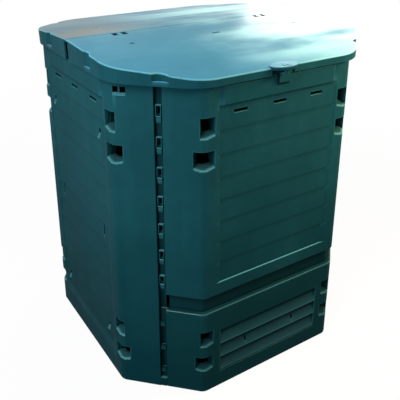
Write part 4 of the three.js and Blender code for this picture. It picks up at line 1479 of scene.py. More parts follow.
@dataclass
class Walls:
    """The four wall panels."""

    joinery: Joinery
    relief: WallRelief
    field_rise: float = 34.0
    field_edge: float = 0.8
    side_field_foot: float = 96.0
    side_field_edge: float = 50.0
    eye_margin: float = 22.0
    eye_width: float = 9.0
    eye_height: float = 11.0
    eye_levels: Pair = (684.0, 137.0)
    lip_gap: float = 1.0
    lip_height: float = 10.0
    lip_proud: float = 4.0
    slit_margin: float = 28.0
    slit_width: float = 5.0
    slit_height: float = 30.0
    slit_level: float = 425.0
    rim_opening_start: float = 65.0
    rim_opening_width: float = 12.0
    rim_opening_gap: float = 4.0
    rim_opening_height: float = 13.0
    rim_opening_drop: float = 22.0
    rim_lip_height: float = 5.0
    rim_lip_proud: float = 1.6
    notch_gap: float = 0.3
    notch_foot: float = 812.2
    catch_line: float = 0.5
    catch_shadow: float = 7.0
    shadow_start: float = -36.0
    shadow_rise: float = 9.0

    def crown(self, sideways: bool) -> Callable[[float], float]:
        """The upper edge below the lid, for a panel along the seam or across it."""
        def height(across: float) -> float:
            """Height of the edge at a distance along the panel."""
            place = FORM.folded(across, 0.0, FORM.skirt_foot)
            distance = place.x if sideways else -place.y
            return FORM.lid_height(distance) - FORM.lid_clearance
        return height

    def front(self) -> Mesh:
        """The wall above a hatch."""
        relief, joinery = self.relief, self.joinery
        low, high = box_of("front_catch")
        reliefs = relief.face(FORM.wall_foot + self.field_rise, self.field_edge)
        reliefs += relief.vents(FORM.skirt_foot, relief.high_vents) + joinery.clip_eyes(-joinery.shift)
        # Painted shadows: a dark outline at the catch's side and foot, and the shade under the ear beside
        # it.
        reliefs += [
            PaintedShadow(low.x - self.catch_line, high.x, low.z - self.catch_shadow, high.z),
            PaintedShadow(self.shadow_start, low.x, FORM.skirt_foot + self.shadow_rise, FORM.seam_height - BORDER),
        ]
        end, crown = joinery.front_end(), self.crown(False)
        return Panel(FORM.wall_foot, FORM.seam_height, end, reliefs, crown).solid()

    def side_details(self) -> list[Relief]:
        """The hook eyes with their lips, and the slit of a side wall."""
        details: list[Relief] = []
        place = self.relief.field_half - self.eye_margin
        for level in self.eye_levels:
            eye = Patch.about(Rail.MIDDLE, place, level, self.eye_width, self.eye_height)
            top = eye.foot - self.lip_gap
            lip = replace(eye, foot=top - self.lip_height, top=top)
            details += [Opening(eye), Scoop(lip, self.lip_proud)]
        place = self.relief.field_half - self.slit_margin
        slit = Patch.about(Rail.MIDDLE, place, self.slit_level, self.slit_width, self.slit_height)
        return [*details, Opening(slit)]

    def rim_openings(self) -> list[Relief]:
        """The paired openings in a side wall's corner faces, with the lip below them."""
        width, near = self.rim_opening_width, -self.rim_opening_start
        far = near - width - self.rim_opening_gap
        foot = FORM.skirt_foot - self.rim_opening_drop
        top = foot + self.rim_opening_height
        pair = [Opening(Patch(Rail.JOINT, end - width, end, foot, top)) for end in (near, far)]
        lip_top = foot - self.lip_gap
        lip = Patch(Rail.JOINT, far - width, near, lip_top - self.rim_lip_height, lip_top)
        return [*pair, Scoop(lip, self.rim_lip_proud)]

    def side(self) -> Mesh:
        """A side wall, folded as if it faced the front."""
        relief, joinery = self.relief, self.joinery
        reliefs = relief.face(self.side_field_foot, self.side_field_edge)
        reliefs += relief.vents(FORM.skirt_foot, relief.high_vents)
        reliefs += relief.vents(FORM.ledge_height, relief.low_vents)
        reliefs += self.side_details() + self.rim_openings()
        reliefs += joinery.clip_eyes(joinery.shift) + joinery.hook_eyes(joinery.shift)
        notch = box_of("lid_crossbar")[1].y + self.notch_gap
        top = FORM.seam_height + BEYOND
        reliefs.append(Opening(Patch(Rail.MIDDLE, -BEYOND, notch, self.notch_foot, top), 0.0))
        mesh = Panel(0.0, FORM.seam_height, joinery.side_end(), reliefs, self.crown(True)).solid()
        joinery.foot_block(mesh)
        return mesh

    def build(self) -> None:
        """Builds all four walls."""
        front, side = self.front(), self.side()
        walls = {
            "front": (front, 0.0), "rear": (front, HALF_TURN),
            "left": (side, -QUARTER_TURN), "right": (side, QUARTER_TURN),
        }
        for name, (mesh, angle) in walls.items():
            finished(f"{name}_wall", turned(mesh, angle), "body", Finish.WALL)
        front.free()
        side.free()


@dataclass
class Hatches:
    """The lift-up hatches with their louvres and hooks."""

    joinery: Joinery
    relief: WallRelief
    louvre_foot: float = 51.0
    louvre_height: float = 133.0
    notch_place: float = 80.0
    notch_level: float = 118.0
    notch_width: float = 5.0
    notch_height: float = 14.0
    notch_rim: float = 0.5
    end_darkening: float = 0.55
    head_width: float = 13.0
    head_inset: float = 3.0
    head_overlap: float = 1.0
    head_bevel: float = 0.8
    shank_width: float = 8.0
    shank_inset: float = 5.0
    shank_bevel: float = 0.4
    barb_gap: float = 2.2
    barb_thickness: float = 3.0
    barb_drop: float = 6.0
    barb_ease: float = 0.3

    def hooks(self, mesh: Mesh) -> None:
        """Adds the hooks on the flanges: head, shank and barb of each."""
        joinery, ease = self.joinery, self.barb_ease
        behind = joinery.inner_inset + joinery.flange + self.barb_gap
        back = behind + self.barb_thickness
        wide, slim, barb = [
            (-width / 2 - joinery.shift, width / 2 - joinery.shift)
            for width in (self.head_width, self.shank_width, self.shank_width + 2 * ease)
        ]
        for top in joinery.hook_tops():
            foot = top - joinery.hook_height
            low = foot + (joinery.hook_height - joinery.shank_height) / 2
            high = low + joinery.shank_height
            depths = (self.head_inset, joinery.outer_inset + self.head_overlap)
            end_blocks(mesh, (wide, depths, (foot, top)), self.head_bevel)
            end_blocks(mesh, (slim, (self.shank_inset, back), (low, high)), self.shank_bevel)
            heights = (low - self.barb_drop, high - 2 * ease)
            end_blocks(mesh, (barb, (behind, back + ease), heights), self.shank_bevel)

    def build(self) -> None:
        """Builds both hatches."""
        relief, joinery = self.relief, self.joinery
        low, high = box_of("front_hatch")
        field_top = self.louvre_foot + self.louvre_height
        place, size = (self.notch_place, self.notch_level), (self.notch_width, self.notch_height)
        reliefs = [
            Web(),
            Louvres(Patch(Rail.MIDDLE, -BEYOND, relief.field_half, self.louvre_foot, field_top)),
            Opening(Patch.about(Rail.MIDDLE, *place, *size), self.notch_rim),
            *relief.vents(FORM.ledge_height, relief.low_vents),
            *joinery.hook_windows(),
        ]
        # The hatch's channel takes a lighter painted shade than a wall's.
        hatch = Panel(low.z, high.z, replace(joinery.front_end(), painted_darkening=self.end_darkening), reliefs).solid()
        self.hooks(hatch)
        for side in Side:
            name = f"{side.name.lower()}_hatch"
            finished(name, turned(hatch, side.value), name, Finish.HATCH)
        hatch.free()


@dataclass(frozen=True)
class Scallop:
    """A rounded bite in the lid's edge that a finger reaches under.

    Attributes:
        turn: the face it is in, in eighths of a turn from the front.
        along: its place along that face.
        bite: how far it reaches into the lid.
        radius: its radius.
    """

    turn: int
    along: float
    bite: float
    radius: float = 24.0

    def push(self, sideways: float, inset: float) -> float:
        """How far the circle, widened by an inset, pushes the face's line in."""
        gap = abs(sideways - self.along)
        radius = self.radius + inset
        if gap >= radius:
            return 0.0
        return max(self.bite - self.radius - inset + math.sqrt(radius * radius - gap * gap), 0.0)


def lofted(mesh: Mesh, rings: list[list[Vector]], closed: bool = False) -> list[list[Vert]]:
    """Joins rings of equally many points by faces.

    Args:
        mesh: the mesh that takes the faces.
        rings: the rings of points.
        closed: whether the last ring is joined to the first.

    Returns:
        The new vertices, ring by ring.
    """
    rows = [[mesh.verts.new(place) for place in ring] for ring in rings]
    count = len(rows[0])
    pairs = list(zip(rows, rows[1:])) + ([(rows[-1], rows[0])] if closed else [])
    for first, second in pairs:
        for i in range(count):
            j = (i + 1) % count
            mesh.faces.new((first[i], first[j], second[j], second[i]))
    return rows


def round_ring(radius: float, count: int = 40) -> list[Vector]:
    """Points on a circle in the XY plane."""
    turns = [2 * math.pi * i / count for i in range(count)]
    return [Vector((math.cos(turn), math.sin(turn))) * radius for turn in turns]


@dataclass
class Mark:
    """A small sunken mark in the lid's upper face."""

    middle: Pair
    half: Pair
    depth: float
    edge: float = 0.8

    def gap(self, x: float, y: float) -> float:
        """Distance of a point outside the mark, below zero inside it."""
        return max(abs(x - self.middle[0]) - self.half[0], abs(y - self.middle[1]) - self.half[1])

    def drop(self, x: float, y: float) -> float:
        """How deep the mark is at a point."""
        return self.depth * ramp(-self.gap(x, y), 0.0, self.edge)


@dataclass
class LidHalf:
    """One half of the lid, drawn over the front.

    Attributes:
        side: the end of the bin that it covers.
        seam: distance of its edge from the middle of the seam.
        notched: whether its upper face is open above the hinge's lugs.
        latched: whether it has the ear that the latch turns in.
        marks: small marks in its upper face.
        foot_round: insets of the skirt's foot with their heights above it.
        ledge_round: drops below the skirt's ledge with the scallops' bites there.
        ear_foot: insets of the ear's lower edge with their heights above it.
        ear_round: insets of the ear's upper edge with their drops below it.
        seat_round: reaches of the seat's edge past its radius with their drops.
        knuckle_web: places of the knuckle's web at its foot, behind the pin's bore and above its axis.
    """

    side: Side
    seam: float
    notched: bool
    latched: bool
    marks: list[Mark]
    seam_radius: float = 3.0
    corner_radius: float = 100.0
    arc_steps: int = 10
    scallop_steps: int = 9
    fillet: float = 2.4
    fillet_steps: int = 4
    collar: float = 1.0
    shell: float = 3.5
    skirt_end: float = 10.0
    face_bite: float = 5.5
    corner_bite: float = 8.0
    foot_round: Pairs = ((1.2, 0.0), (0.5, 0.15), (0.1, 0.5), (0.0, 1.2))
    ledge: float = 10.0
    ledge_round: Pairs = ((0.8, 0.0), (0.24, 0.24), (0.0, 0.8))
    strip: float = 22.0
    strip_count: int = 16
    knuckle_half: float = 7.5
    knuckle_radius: float = 6.0
    knuckle_round: float = 0.5
    knuckle_steps: int = 24
    knuckle_web: Pairs = ((1.0, 2.0), (1.0, -3.5), (2.5, -3.5))
    web_inset: float = 0.3
    web_reach: float = 18.0
    bore_radius: float = 3.3
    lug_half: float = 7.0
    lug_offset: float = 11.6
    lug_back: float = -25.0
    pin_reach: float = 16.1
    latch_shift: float = -4.0
    latch_reach: float = 358.5
    ear_half: Pair = (37.0, 21.0)
    ear_inset: float = 2.0
    ear_top: float = 833.5
    ear_thickness: float = 8.0
    ear_foot: Pairs = ((1.0, 0.0), (0.3, 0.3), (0.0, 1.0))
    ear_round: Pairs = ((0.0, 1.6), (0.2, 0.75), (0.75, 0.2), (1.6, 0.0))
    seat_radius: float = 9.5
    seat_round: Pairs = ((0.8, 0.0), (0.24, 0.24), (0.0, 0.8))
    seat_depth: float = 2.5
    seat_darkening: tuple[float, ...] = (1.0, 1.0, 0.9, 0.6, 0.15, 0.0, 0.0, 0.0, 0.0, 0.6, 0.95, 1.0, 1.0)
    shank_radius: float = 5.0
    notch: Pair = (-37.0, 25.0)

    @property
    def name(self) -> str:
        """Name of the frame's node and body."""
        return f"{self.side.name.lower()}_lid"

    @property
    def scallops(self) -> list[Scallop]:
        """The four scallops of a half."""
        return [
            Scallop(6, 116.0, self.face_bite), Scallop(2, -116.0, self.face_bite),
            Scallop(7, 14.0, self.corner_bite), Scallop(1, -14.0, self.corner_bite),
        ]

    def reach(self, turn: int) -> float:
        """Distance of one of the plan's eight sides from the middle."""
        corner = FORM.corner(FORM.seam_height - FORM.lid_edge_drop / 2) + FORM.lid_corner_overhang
        return corner if turn % 2 else FORM.lid_half_width

    def plan(self, inset: float, most: float) -> list[Vector]:
        """Points round the lid's rounded eight-sided plan.

        Args:
            inset: distance inside the outline.
            most: how far the scallops may bite at the most.

        Returns:
            The points in order.
        """
        points = []
        radius = self.corner_radius
        for turn in range(8):
            out = Vector((math.sin(turn * EIGHTH_TURN), -math.cos(turn * EIGHTH_TURN)))
            side = Vector((-out.y, out.x))
            for scallop in [scallop for scallop in self.scallops if scallop.turn == turn]:
                chord = math.sqrt(scallop.radius ** 2 - (scallop.radius - scallop.bite) ** 2)
                for i in range(-self.scallop_steps, self.scallop_steps + 1):
                    along = scallop.along + (chord + self.fillet) * i / self.scallop_steps
                    push = min(scallop.push(along, inset), most)
                    points.append(out * (self.reach(turn) - inset - push) + side * along)
            middle = self.arc_middle(turn)
            for i in range(self.arc_steps + 1):
                angle = (turn + i / self.arc_steps) * EIGHTH_TURN
                points.append(middle + Vector((math.sin(angle), -math.cos(angle))) * (radius - inset))
        return points

    def arc_middle(self, turn: int) -> Vector:
        """Middle of the rounding between a side and the next one."""
        near, far = self.reach(turn) - self.corner_radius, self.reach(turn + 1) - self.corner_radius
        angle = turn * EIGHTH_TURN
        along = (far - near * math.cos(EIGHTH_TURN)) / math.sin(EIGHTH_TURN)
        out = Vector((math.sin(angle), -math.cos(angle)))
        return out * near + Vector((-out.y, out.x)) * along

    def lug_edges(self) -> list[float]:
        """The two edges of each opening above the hinge's lugs, in order."""
        lugs = [x + hand * self.lug_offset for x in self.hinge_places() for hand in (-1, 1)]
        return [lug + hand * self.lug_half for lug in lugs for hand in (-1, 1)]

    def hinge_places(self) -> list[float]:
        """Places of the hinges along the seam, as drawn over the front."""
        places = []
        for hand in ("left", "right"):
            low, high = box_of(f"{self.side.name.lower()}_hinge_pin_{hand}")
            places.append(high.x - self.pin_reach if low.x < 0 else low.x + self.pin_reach)
        return [-place for place in places] if self.side is Side.REAR else places

    def shell_rings(self) -> list[list[Vector]]:
        """The rings from the skirt's foot to the flat of the top, before it is curved."""
        ledge, start = FORM.skirt_foot + self.ledge, FORM.seam_height - self.fillet
        full = self.face_bite + self.corner_bite
        levels = [(inset, FORM.skirt_foot + rise, 0.0) for inset, rise in self.foot_round]
        levels += [(0.0, ledge - drop, bite) for drop, bite in self.ledge_round]
        levels += [(0.0, ledge, full), (0.0, start - self.collar, full)]
        for i in range(self.fillet_steps + 1):
            angle = QUARTER_TURN * i / self.fillet_steps
            levels.append((self.fillet * (1 - math.cos(angle)), start + self.fillet * math.sin(angle), full))
        return [[place.to_3d() + UP * z for place in self.plan(inset, most)] for inset, z, most in levels]

    def cut_box(self, mesh: Mesh, axis: int, place: float, low: Vector, high: Vector) -> None:
        """Cuts the faces that overlap a box along a plane.

        Args:
            mesh: the shell.
            axis: number of the axis that the plane stands across.
            place: its place on that axis.
            low: the box's lowest corner.
            high: its highest corner.
        """
        def meets(face: Face) -> bool:
            """Whether a face overlaps the box."""
            corners = list(zip(*(vert.co for vert in face.verts)))
            return all(max(c) > least and min(c) < most for c, least, most in zip(corners, low, high))

        normal = Vector([float(i == axis) for i in range(3)])
        cut(mesh, [face for face in mesh.faces if meets(face)], normal * place, normal)

    def cut_marks(self, mesh: Mesh) -> None:
        """Cuts the edges of the small marks into the upper face."""
        for mark in self.marks:
            middle, reach = Vector(mark.middle), Vector([half + mark.edge for half in mark.half])
            low = (middle - reach).to_3d() + UP * (FORM.seam_height - BORDER)
            high = (middle + reach).to_3d() + UP * 2 * FORM.seam_height
            for axis, hand, share in product((0, 1), (-1, 1), (0.0, 0.5, 1.0)):
                edge = mark.half[axis] - share * mark.edge
                self.cut_box(mesh, axis, middle[axis] + hand * edge, low, high)

    def shell_mesh(self) -> Mesh:
        """The open shell of the lid with its curve, notches and marks, one skin thick."""
        mesh = blank("wear", "grime")
        wear, grime = [mesh.verts.layers.float[name] for name in ("wear", "grime")]
        rows = lofted(mesh, self.shell_rings())
        mesh.faces.new(rows[-1])
        bmesh.ops.remove_doubles(mesh, verts=mesh.verts, dist=MERGE)
        far = 2 * FORM.seam_height
        corner = Vector((far,) * 3)
        ends = [-self.seam - share * self.seam_radius for share in RIM_SHARES]
        strips = [-i * self.strip for i in range(2, self.strip_count)]
        for place in [*ends, -self.skirt_end, self.lug_back, *strips]:
            self.cut_box(mesh, 1, place, -corner, corner)
        middle = [vert for vert in mesh.verts if vert.co.y > -self.seam + SNAP]
        bmesh.ops.delete(mesh, geom=middle, context="VERTS")
        if self.notched:
            low = Vector((-far, self.lug_back + SNAP, FORM.seam_height - BORDER))
            for place in self.lug_edges():
                self.cut_box(mesh, 0, place, low, Vector((far, 0, far)))
        edge = Vector((far, self.fillet - self.reach(0), far))
        for place in self.notch:
            self.cut_box(mesh, 0, place, Vector((-far, -far, 0)), edge)
        self.cut_marks(mesh)
        gone = [face for face in mesh.faces if self.missing(face.calc_center_median())]
        bmesh.ops.delete(mesh, geom=gone, context="FACES")
        start, top = FORM.seam_height - self.fillet - SNAP, FORM.seam_height - SNAP
        for vert in [vert for vert in mesh.verts if vert.co.z > start - self.collar]:
            fall = FORM.seam_height - FORM.lid_height(abs(vert.co.y))
            fall += rounding(-self.seam - vert.co.y, self.seam_radius)
            if vert.co.z > top:
                # Painted shade in the sunk marks, as deep as they are sunk.
                sunk = sum(mark.drop(vert.co.x, vert.co.y) for mark in self.marks)
                vert[grime] = min(sunk, 1.0)
                fall += sunk
            elif vert.co.z > start:
                # A painted highlight line along the lid's rounded top edge.
                vert[wear] = 1.0
            vert.co.z -= fall
        return mesh

    def missing(self, place: Vector) -> bool:
        """Whether the shell is left open at a point, before it is curved."""
        below = place.z < FORM.seam_height - self.fillet - SNAP
        at_latch = self.notch[0] < place.x < self.notch[1] and place.y < -self.reach(0) / 2
        if below and (place.y > -self.skirt_end or self.latched and at_latch):
            return True
        if not self.notched or below or place.y < self.lug_back:
            return False
        edges = self.lug_edges()
        return any(low < place.x < high for low, high in zip(edges[::2], edges[1::2]))

    def ear(self, mesh: Mesh) -> None:
        """Adds the oval ear with the latch's seat and bore."""
        middle = Vector((self.latch_shift, self.ear_inset - self.reach(0), 0))
        pivot = Vector((self.latch_shift, -self.latch_reach, 0))
        top, foot = self.ear_top, self.ear_top - self.ear_thickness
        long, deep = self.ear_half

        def oval(inset: float, z: float) -> list[Vector]:
            """The ear's outline at an inset and a height."""
            half = Vector((long - inset, deep - inset))
            return [middle + (place * half).to_3d() + UP * z for place in round_ring(1.0)]

        def circle(radius: float, z: float) -> list[Vector]:
            """A circle about the latch at a radius and a height."""
            return [pivot + place.to_3d() + UP * z for place in round_ring(radius)]

        rings = [circle(self.shank_radius, foot)]
        rings += [oval(inset, foot + rise) for inset, rise in self.ear_foot]
        rings += [oval(inset, top - drop) for inset, drop in self.ear_round]
        rings += [circle(self.seat_radius + past, top - drop) for past, drop in self.seat_round]
        rings += [circle(radius, top - self.seat_depth) for radius in (self.seat_radius, self.shank_radius)]
        rows = lofted(mesh, rings, closed=True)
        # Painted shade under the ear's foot and in the seat and bore round the latch's head.
        grime = mesh.verts.layers.float["grime"]
        for row, amount in zip(rows, self.seat_darkening, strict=True):
            for vert in row:
                vert[grime] = amount

    def knuckles(self, mesh: Mesh) -> None:
        """Adds the knuckles that turn on the hinge's pins, with their webs."""
        joint = next(joint for joint in frame["joints"] if joint["name"] == f"{self.name}_hinge")
        axis = Vector((0, -abs(joint["pos_m"][1]), joint["pos_m"][2])) / MILLIMETRE
        roof = FORM.lid_height(abs(axis.y)) - self.shell / 2
        start, back = axis.y - self.bore_radius, axis.y - self.web_reach
        small, full = self.knuckle_radius - self.knuckle_round, self.knuckle_radius
        web = [(start - behind, axis.z + rise) for behind, rise in self.knuckle_web]
        web += [(back, roof - self.shell), (back, roof), (start, roof)]
        for x in self.hinge_places():
            near, far = x - self.knuckle_half, x + self.knuckle_half
            sections = [(small, near), (full, near + self.knuckle_round), (full, far - self.knuckle_round)]
            sections += [(small, far), (self.bore_radius, far), (self.bore_radius, near)]
            rings = [
                [Vector((place, axis.y + point.x, axis.z + point.y))
                 for point in round_ring(radius, self.knuckle_steps)]
                for radius, place in sections
            ]
            lofted(mesh, rings, closed=True)
            ends = (near + self.web_inset, far - self.web_inset)
            for row in lofted(mesh, [[Vector((place, *point)) for point in web] for place in ends]):
                mesh.faces.new(row)

    def build(self) -> None:
        """Builds the half and turns it into place."""
        mesh = self.shell_mesh()
        bmesh.ops.recalc_face_normals(mesh, faces=mesh.faces)
        top = max(mesh.faces, key=lambda face: face.calc_area())
        if top.normal.z < 0:
            bmesh.ops.reverse_faces(mesh, faces=mesh.faces)
        bmesh.ops.solidify(mesh, geom=mesh.faces[:], thickness=self.shell)
        if self.latched:
            self.ear(mesh)
        self.knuckles(mesh)
        bmesh.ops.recalc_face_normals(mesh, faces=mesh.faces)
        finished(self.name, turned(mesh, self.side.value), self.name, Finish.LID)
        mesh.free()


@dataclass
class FramePiece:
    """A small piece taken from the frame and given rounded edges.

    Attributes:
        node: the frame's node.
        body: the body it moves with.
        finish: its material.
        bevel: width of its rounded edges.
        painted_darkening: how much painted shade darkens it at a vertex, from 0 to 1.
    """

    node: str
    body: str
    finish: Finish
    bevel: float = 0.6
    painted_darkening: Callable[[Vert], float] | None = None

    def build(self) -> None:
        """Builds the piece from a copy of its node."""
        mesh = bmesh.new()
        mesh.from_mesh(frame["nodes"][self.node].data)
        bmesh.ops.scale(mesh, vec=Vector((1 / MILLIMETRE,) * 3), verts=mesh.verts)
        bmesh.ops.remove_doubles(mesh, verts=mesh.verts, dist=MERGE)
        bmesh.ops.dissolve_limit(mesh, angle_limit=FLAT_ANGLE, verts=mesh.verts, edges=mesh.edges)
        bevelled(mesh, [edge for edge in mesh.edges if edge.calc_face_angle(0.0) > SHARP_ANGLE], self.bevel)
        if self.painted_darkening:
            grime = mesh.verts.layers.float.new("grime")
            mesh.normal_update()
            for vert in mesh.verts:
                vert[grime] = self.painted_darkening(vert)
        finished(self.node, mesh, self.body, self.finish, "detail")


@dataclass
class Clips:
    """The columns of clips that hold the corner joints.

    Attributes:
        joinery: the sizes that the clips share with the panels.
        head_round: insets, depths past the head's face and corner radii of its outline, to its hollow.
        tab_outline: depths in front of the seat and heights above the tab's foot, from its top down.
        unshaded_rings: number of rings of the head that take no painted shade.
    """

    joinery: Joinery
    width: float = 13.0
    inset: float = 3.0
    gap: float = 0.3
    head_round: Triples = (
        (0.0, 0.5, 1.5), (0.15, 0.15, 1.3), (0.5, 0.0, 1.0),
        (1.3, 0.0, 0.8), (1.6, 0.3, 0.6), (1.6, 4.0, 0.6),
    )
    unshaded_rings: int = 6
    shank: Pair = (8.0, 18.0)
    shank_radius: float = 0.5
    wall: float = 1.4
    barb: float = 3.0
    tab_width: float = 11.0
    tab_height: float = 16.0
    tab_overlap: float = 0.5
    tab_bevel: float = 1.0
    tab_outline: Pairs = (
        (0.0, 16.0), (5.0, 16.0), (5.2, 11.0), (4.7, 6.0), (3.2, 2.4), (1.2, 0.0), (0.0, 0.0),
    )
    corner_steps: int = 3

    @property
    def seat(self) -> float:
        """Depth at which a clip's head ends."""
        return self.joinery.outer_inset - self.gap

    def rectangle(self, width: float, height: float, radius: float, depth: float) -> list[Vector]:
        """Points round an upright rectangle with rounded corners, as across, depth and height."""
        points = []
        for quarter, (side, rise) in enumerate(((1, 1), (-1, 1), (-1, -1), (1, -1))):
            middle = Vector((side * (width / 2 - radius), depth, rise * (height / 2 - radius)))
            for i in range(self.corner_steps + 1):
                angle = (quarter + i / self.corner_steps) * QUARTER_TURN
                points.append(middle + Vector((math.cos(angle), 0, math.sin(angle))) * radius)
        return points

    def rings(self) -> list[list[Vector]]:
        """The closed row of rings of a hollow clip about its head's middle."""
        tall, back = self.joinery.clip_head, self.joinery.inner_inset + self.joinery.flange + self.gap
        rows = [(0.0, self.seat, self.head_round[0][2])]
        rows += [(cut_in, self.inset + depth, radius) for cut_in, depth, radius in self.head_round]
        rings = [
            self.rectangle(self.width - 2 * cut_in, tall - 2 * cut_in, radius, depth)
            for cut_in, depth, radius in rows
        ]
        shank_wide, shank_tall = self.shank
        hollow = (shank_wide - 2 * self.wall, shank_tall - 2 * self.wall)
        barbed = (shank_wide, shank_tall + 2 * self.barb)
        sections = [(hollow, rows[-1][1]), (hollow, back + self.barb), (barbed, back + self.barb)]
        sections += [(barbed, back), (self.shank, back), (self.shank, self.seat)]
        return rings + [self.rectangle(*size, self.shank_radius, depth) for size, depth in sections]

    def tab(self, mesh: Mesh) -> None:
        """Adds the rounded tab below a clip's head."""
        low = self.tab_overlap - self.joinery.clip_head / 2 - self.tab_height
        outline = [(self.seat - proud, low + rise) for proud, rise in self.tab_outline]
        ends = (-self.tab_width / 2, self.tab_width / 2)
        rows = lofted(mesh, [[Vector((across, *point)) for point in outline] for across in ends])
        caps = [mesh.faces.new(row) for row in rows]
        bevelled(mesh, {edge for cap in caps for edge in cap.edges}, self.tab_bevel)

    def build(self) -> None:
        """Builds every clip."""
        joinery = self.joinery
        pattern = blank("grime")
        grime = pattern.verts.layers.float["grime"]
        rows = lofted(pattern, self.rings(), closed=True)
        # The hollow shank behind the head takes full painted shade.
        for vert in [vert for row in rows[self.unshaded_rings:] for vert in row]:
            vert[grime] = 1.0
        self.tab(pattern)
        for side, hand, i in product(Side, (-1, 1), range(joinery.clip_count)):
            middle = joinery.clip_top - i * joinery.clip_pitch - joinery.clip_head / 2
            mesh = pattern.copy()
            for vert in mesh.verts:
                height = middle + vert.co.z
                across = FORM.joint(height) - joinery.shift + vert.co.x
                vert.co = FORM.folded(hand * across, vert.co.y, height)
            bmesh.ops.rotate(mesh, verts=mesh.verts, matrix=Matrix.Rotation(side.value, 3, "Z"))
            bmesh.ops.recalc_face_normals(mesh, faces=mesh.faces)
            end = "left" if (hand < 0) == (side is Side.FRONT) else "right"
            finished(f"corner_clip_{side.name.lower()}_{end}_{i + 1}", mesh, "body", Finish.CLIP)
        pattern.free()


@dataclass
class Fittings:
    """The crossbar with its pins, the latch and its catch."""

    facing: float = -0.9
    plate_area: float = 30.0
    slot_edge: float = 0.3
    slot_depth: float = 1.2
    slot_darkening: float = 0.95
    head_depth: float = 4.0
    lug_reach: float = 12.0
    bar_darkening: float = 0.3
    lug_darkening: float = 0.65
    latch_top: float = field(default_factory=lambda: box_of("front_latch")[1].z)
    bar_top: float = field(default_factory=lambda: box_of("lid_crossbar")[1].z)

    def round_plate(self, vert: Vert) -> float:
        """The painted shadow round the catch's front face."""
        faces = [face for face in vert.link_faces if face.normal.y < self.facing]
        return float(all(face.calc_area() <= self.plate_area for face in faces))

    def in_slot(self, vert: Vert) -> float:
        """The painted shade in the latch's slot, below its upper face."""
        drop = self.latch_top - vert.co.z
        return self.slot_darkening * ramp(drop, self.slot_edge, self.slot_depth) * (drop < self.head_depth)

    def on_lugs(self, vert: Vert) -> float:
        """Painted shade on the crossbar under the lid, darker towards the lugs' tops, where debris also
        falls through the lid's openings.
        """
        start = self.bar_top - self.lug_reach
        return self.bar_darkening + self.lug_darkening * ramp(vert.co.z, start, start + self.lug_reach / 2)

    def build(self) -> None:
        """Builds every fitting."""
        for node in frame["nodes"]:
            if "hinge_pin" in node:
                FramePiece(node, "body", Finish.CLIP, bevel=0.4).build()
            elif "catch" in node:
                FramePiece(node, "body", Finish.WALL, bevel=0.6, painted_darkening=self.round_plate).build()
            elif "latch" in node:
                FramePiece(node, node, Finish.LID, bevel=0.4, painted_darkening=self.in_slot).build()
        FramePiece("lid_crossbar", "body", Finish.WALL, bevel=0.8, painted_darkening=self.on_lugs).build()


@dataclass
class Lamp:
    """A soft area lamp that shines at a point of the bin."""

    name: str
    place: Triple
    target: Triple
    size: float
    power: float
    colour: Triple

    def build(self) -> None:
        """Builds the lamp."""
        light = bpy.data.lights.new(self.name, "AREA")
        light.size = self.size
        light.energy = self.power
        light.color = self.colour
        lamp = placed(self.name, light)
        lamp.location = self.place
        aim = Vector(self.target) - Vector(self.place)
        lamp.rotation_euler = aim.to_track_quat("-Z", "Y").to_euler()
        lamp.visible_camera = False


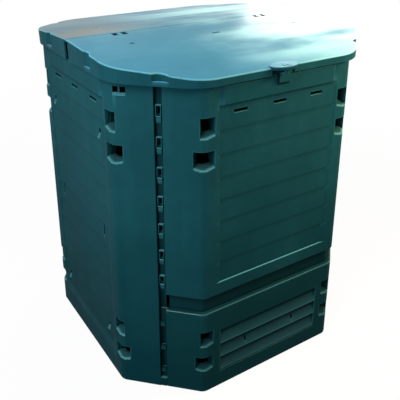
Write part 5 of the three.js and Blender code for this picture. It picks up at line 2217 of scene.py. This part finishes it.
@dataclass
class Studio:
    """The camera, the lamps, the world and the floor."""

    azimuth: float = -33.0
    elevation: float = 28.7
    roll: float = 0.2185
    focal_pixels: float = 564.365
    sensor: float = 36.0
    place: Triple = (-0.7978, -1.24733, 1.15322)
    floor_side: float = 12.0
    floor_colour: Paint = pigment(200, 200, 200)
    floor_roughness: float = 0.9
    painted_shadow_colour: Paint = pigment(22, 24, 22)
    shadow_border: Pair = (0.02, 0.004)
    floor_white: float = 0.94
    white_from: Pair = (1.0, 3.2)
    ambient: float = 0.32
    footprint_share: float = FORM.half_width / (FORM.half_width + FORM.corner_projection)
    lamps: tuple[Lamp, ...] = (
        Lamp("key_light", (-2.6, -1.15, 3.8), (0.0, 0.0, 0.3), 1.8, 204.0, (1.0, 1.0, 0.94)),
        Lamp("side_light", (-3.4, -1.1, 1.4), (0.0, 0.0, 0.6), 2.0, 76.0, (0.52, 0.82, 1.0)),
        Lamp("right_light", (0.72, -0.68, 1.08), (0.34, -0.36, 0.86), 0.3, 22.0, (1.0, 0.72, 0.42)),
        Lamp("glare_light", (2.7, 2.2, 1.2), (0.25, 0.0, 0.86), 1.3, 90.0, (0.95, 1.0, 1.0)),
    )

    def camera(self) -> None:
        """Sets the camera at the photograph's viewing angle."""
        turn, rise = math.radians(self.azimuth), math.radians(self.elevation)
        back = Vector((math.sin(turn) * math.cos(rise), -math.cos(turn) * math.cos(rise), math.sin(rise)))
        right = (-back).cross(UP).normalized()
        up = back.cross(right)
        roll = math.radians(self.roll)
        across = right * math.cos(roll) + up * math.sin(roll)
        upward = up * math.cos(roll) - right * math.sin(roll)
        data = bpy.data.cameras.new("camera")
        data.sensor_width = self.sensor
        data.lens = self.focal_pixels * self.sensor / IMAGE_SIDE
        camera = placed("camera", data)
        matrix = Matrix((across, upward, back)).transposed().to_4x4()
        matrix.translation = Vector(self.place)
        camera.matrix_world = matrix
        bpy.context.scene.camera = camera

    def floor(self) -> None:
        """Builds the pale floor, which keeps the bin's shadow."""
        mesh = bmesh.new()
        bmesh.ops.create_grid(mesh, x_segments=1, y_segments=1, size=self.floor_side / 2)
        data = bpy.data.meshes.new("floor")
        mesh.to_mesh(data)
        mesh.free()
        shader = Shader(bpy.data.materials.new("floor_paper"))
        across, along = [part.math("ABSOLUTE") for part in shader.place()[1][:2]]
        corner = (across + along) * (self.footprint_share / math.sqrt(2))
        reach = across.math("MAXIMUM", along).math("MAXIMUM", corner)
        edge = FORM.half_width * MILLIMETRE
        # A dark patch painted on the floor inside the bin's footprint, as its shadow.
        outside = reach.step(*(edge - gap for gap in self.shadow_border))
        white_share = outside * (self.floor_white + reach.step(*self.white_from) * (1 - self.floor_white))
        plain = shader.node("ShaderNodeBsdfPrincipled", None, {
            "Base Color": shader.mix(outside, self.painted_shadow_colour, self.floor_colour),
            "Roughness": self.floor_roughness,
            "Specular IOR Level": 0.0,
        })
        white = shader.node("ShaderNodeEmission", None, {"Strength": 1.0})
        surface = shader.mixed(shader.seen() * white_share, plain, white)
        shader.node("ShaderNodeOutputMaterial", None, {"Surface": surface.outputs[0]})
        data.materials.append(shader.owner)
        placed("floor", data)

    def world(self) -> None:
        """Sets an even surrounding light with a white background."""
        bpy.context.scene.world = bpy.data.worlds.new("studio")
        shader = Shader(bpy.context.scene.world)
        around, white = [
            shader.node("ShaderNodeBackground", None, {"Color": WHITE, "Strength": strength})
            for strength in (self.ambient, 1.0)
        ]
        surface = shader.mixed(shader.seen(), around, white)
        shader.node("ShaderNodeOutputWorld", None, {"Surface": surface.outputs[0]})

    def build(self) -> None:
        """Builds the whole studio."""
        self.camera()
        self.floor()
        self.world()
        for lamp in self.lamps:
            lamp.build()
        bpy.context.scene.view_settings.view_transform = "Standard"


def main() -> None:
    """Builds the bin and its studio, and reports each piece."""
    logging.basicConfig(level=logging.INFO, format="%(name)s: %(message)s")
    joinery, relief = Joinery(), WallRelief()
    Walls(joinery, relief).build()
    Hatches(joinery, relief).build()
    front_marks = [
        Mark((-12.0, -105.0), (11.0, 3.2), 2.2), Mark((-233.0, -97.0), (6.0, 4.0), 1.2),
        Mark((226.0, -112.0), (6.0, 3.2), 1.2),
    ]
    rear_marks = [Mark((230.0, -103.0), (6.0, 3.2), 1.2)]
    LidHalf(Side.FRONT, seam=1.8, notched=True, latched=True, marks=front_marks).build()
    LidHalf(Side.REAR, seam=3.0, notched=False, latched=False, marks=rear_marks).build()
    Clips(joinery).build()
    Fittings().build()
    Studio().build()


if __name__ == "__main__":
    main()
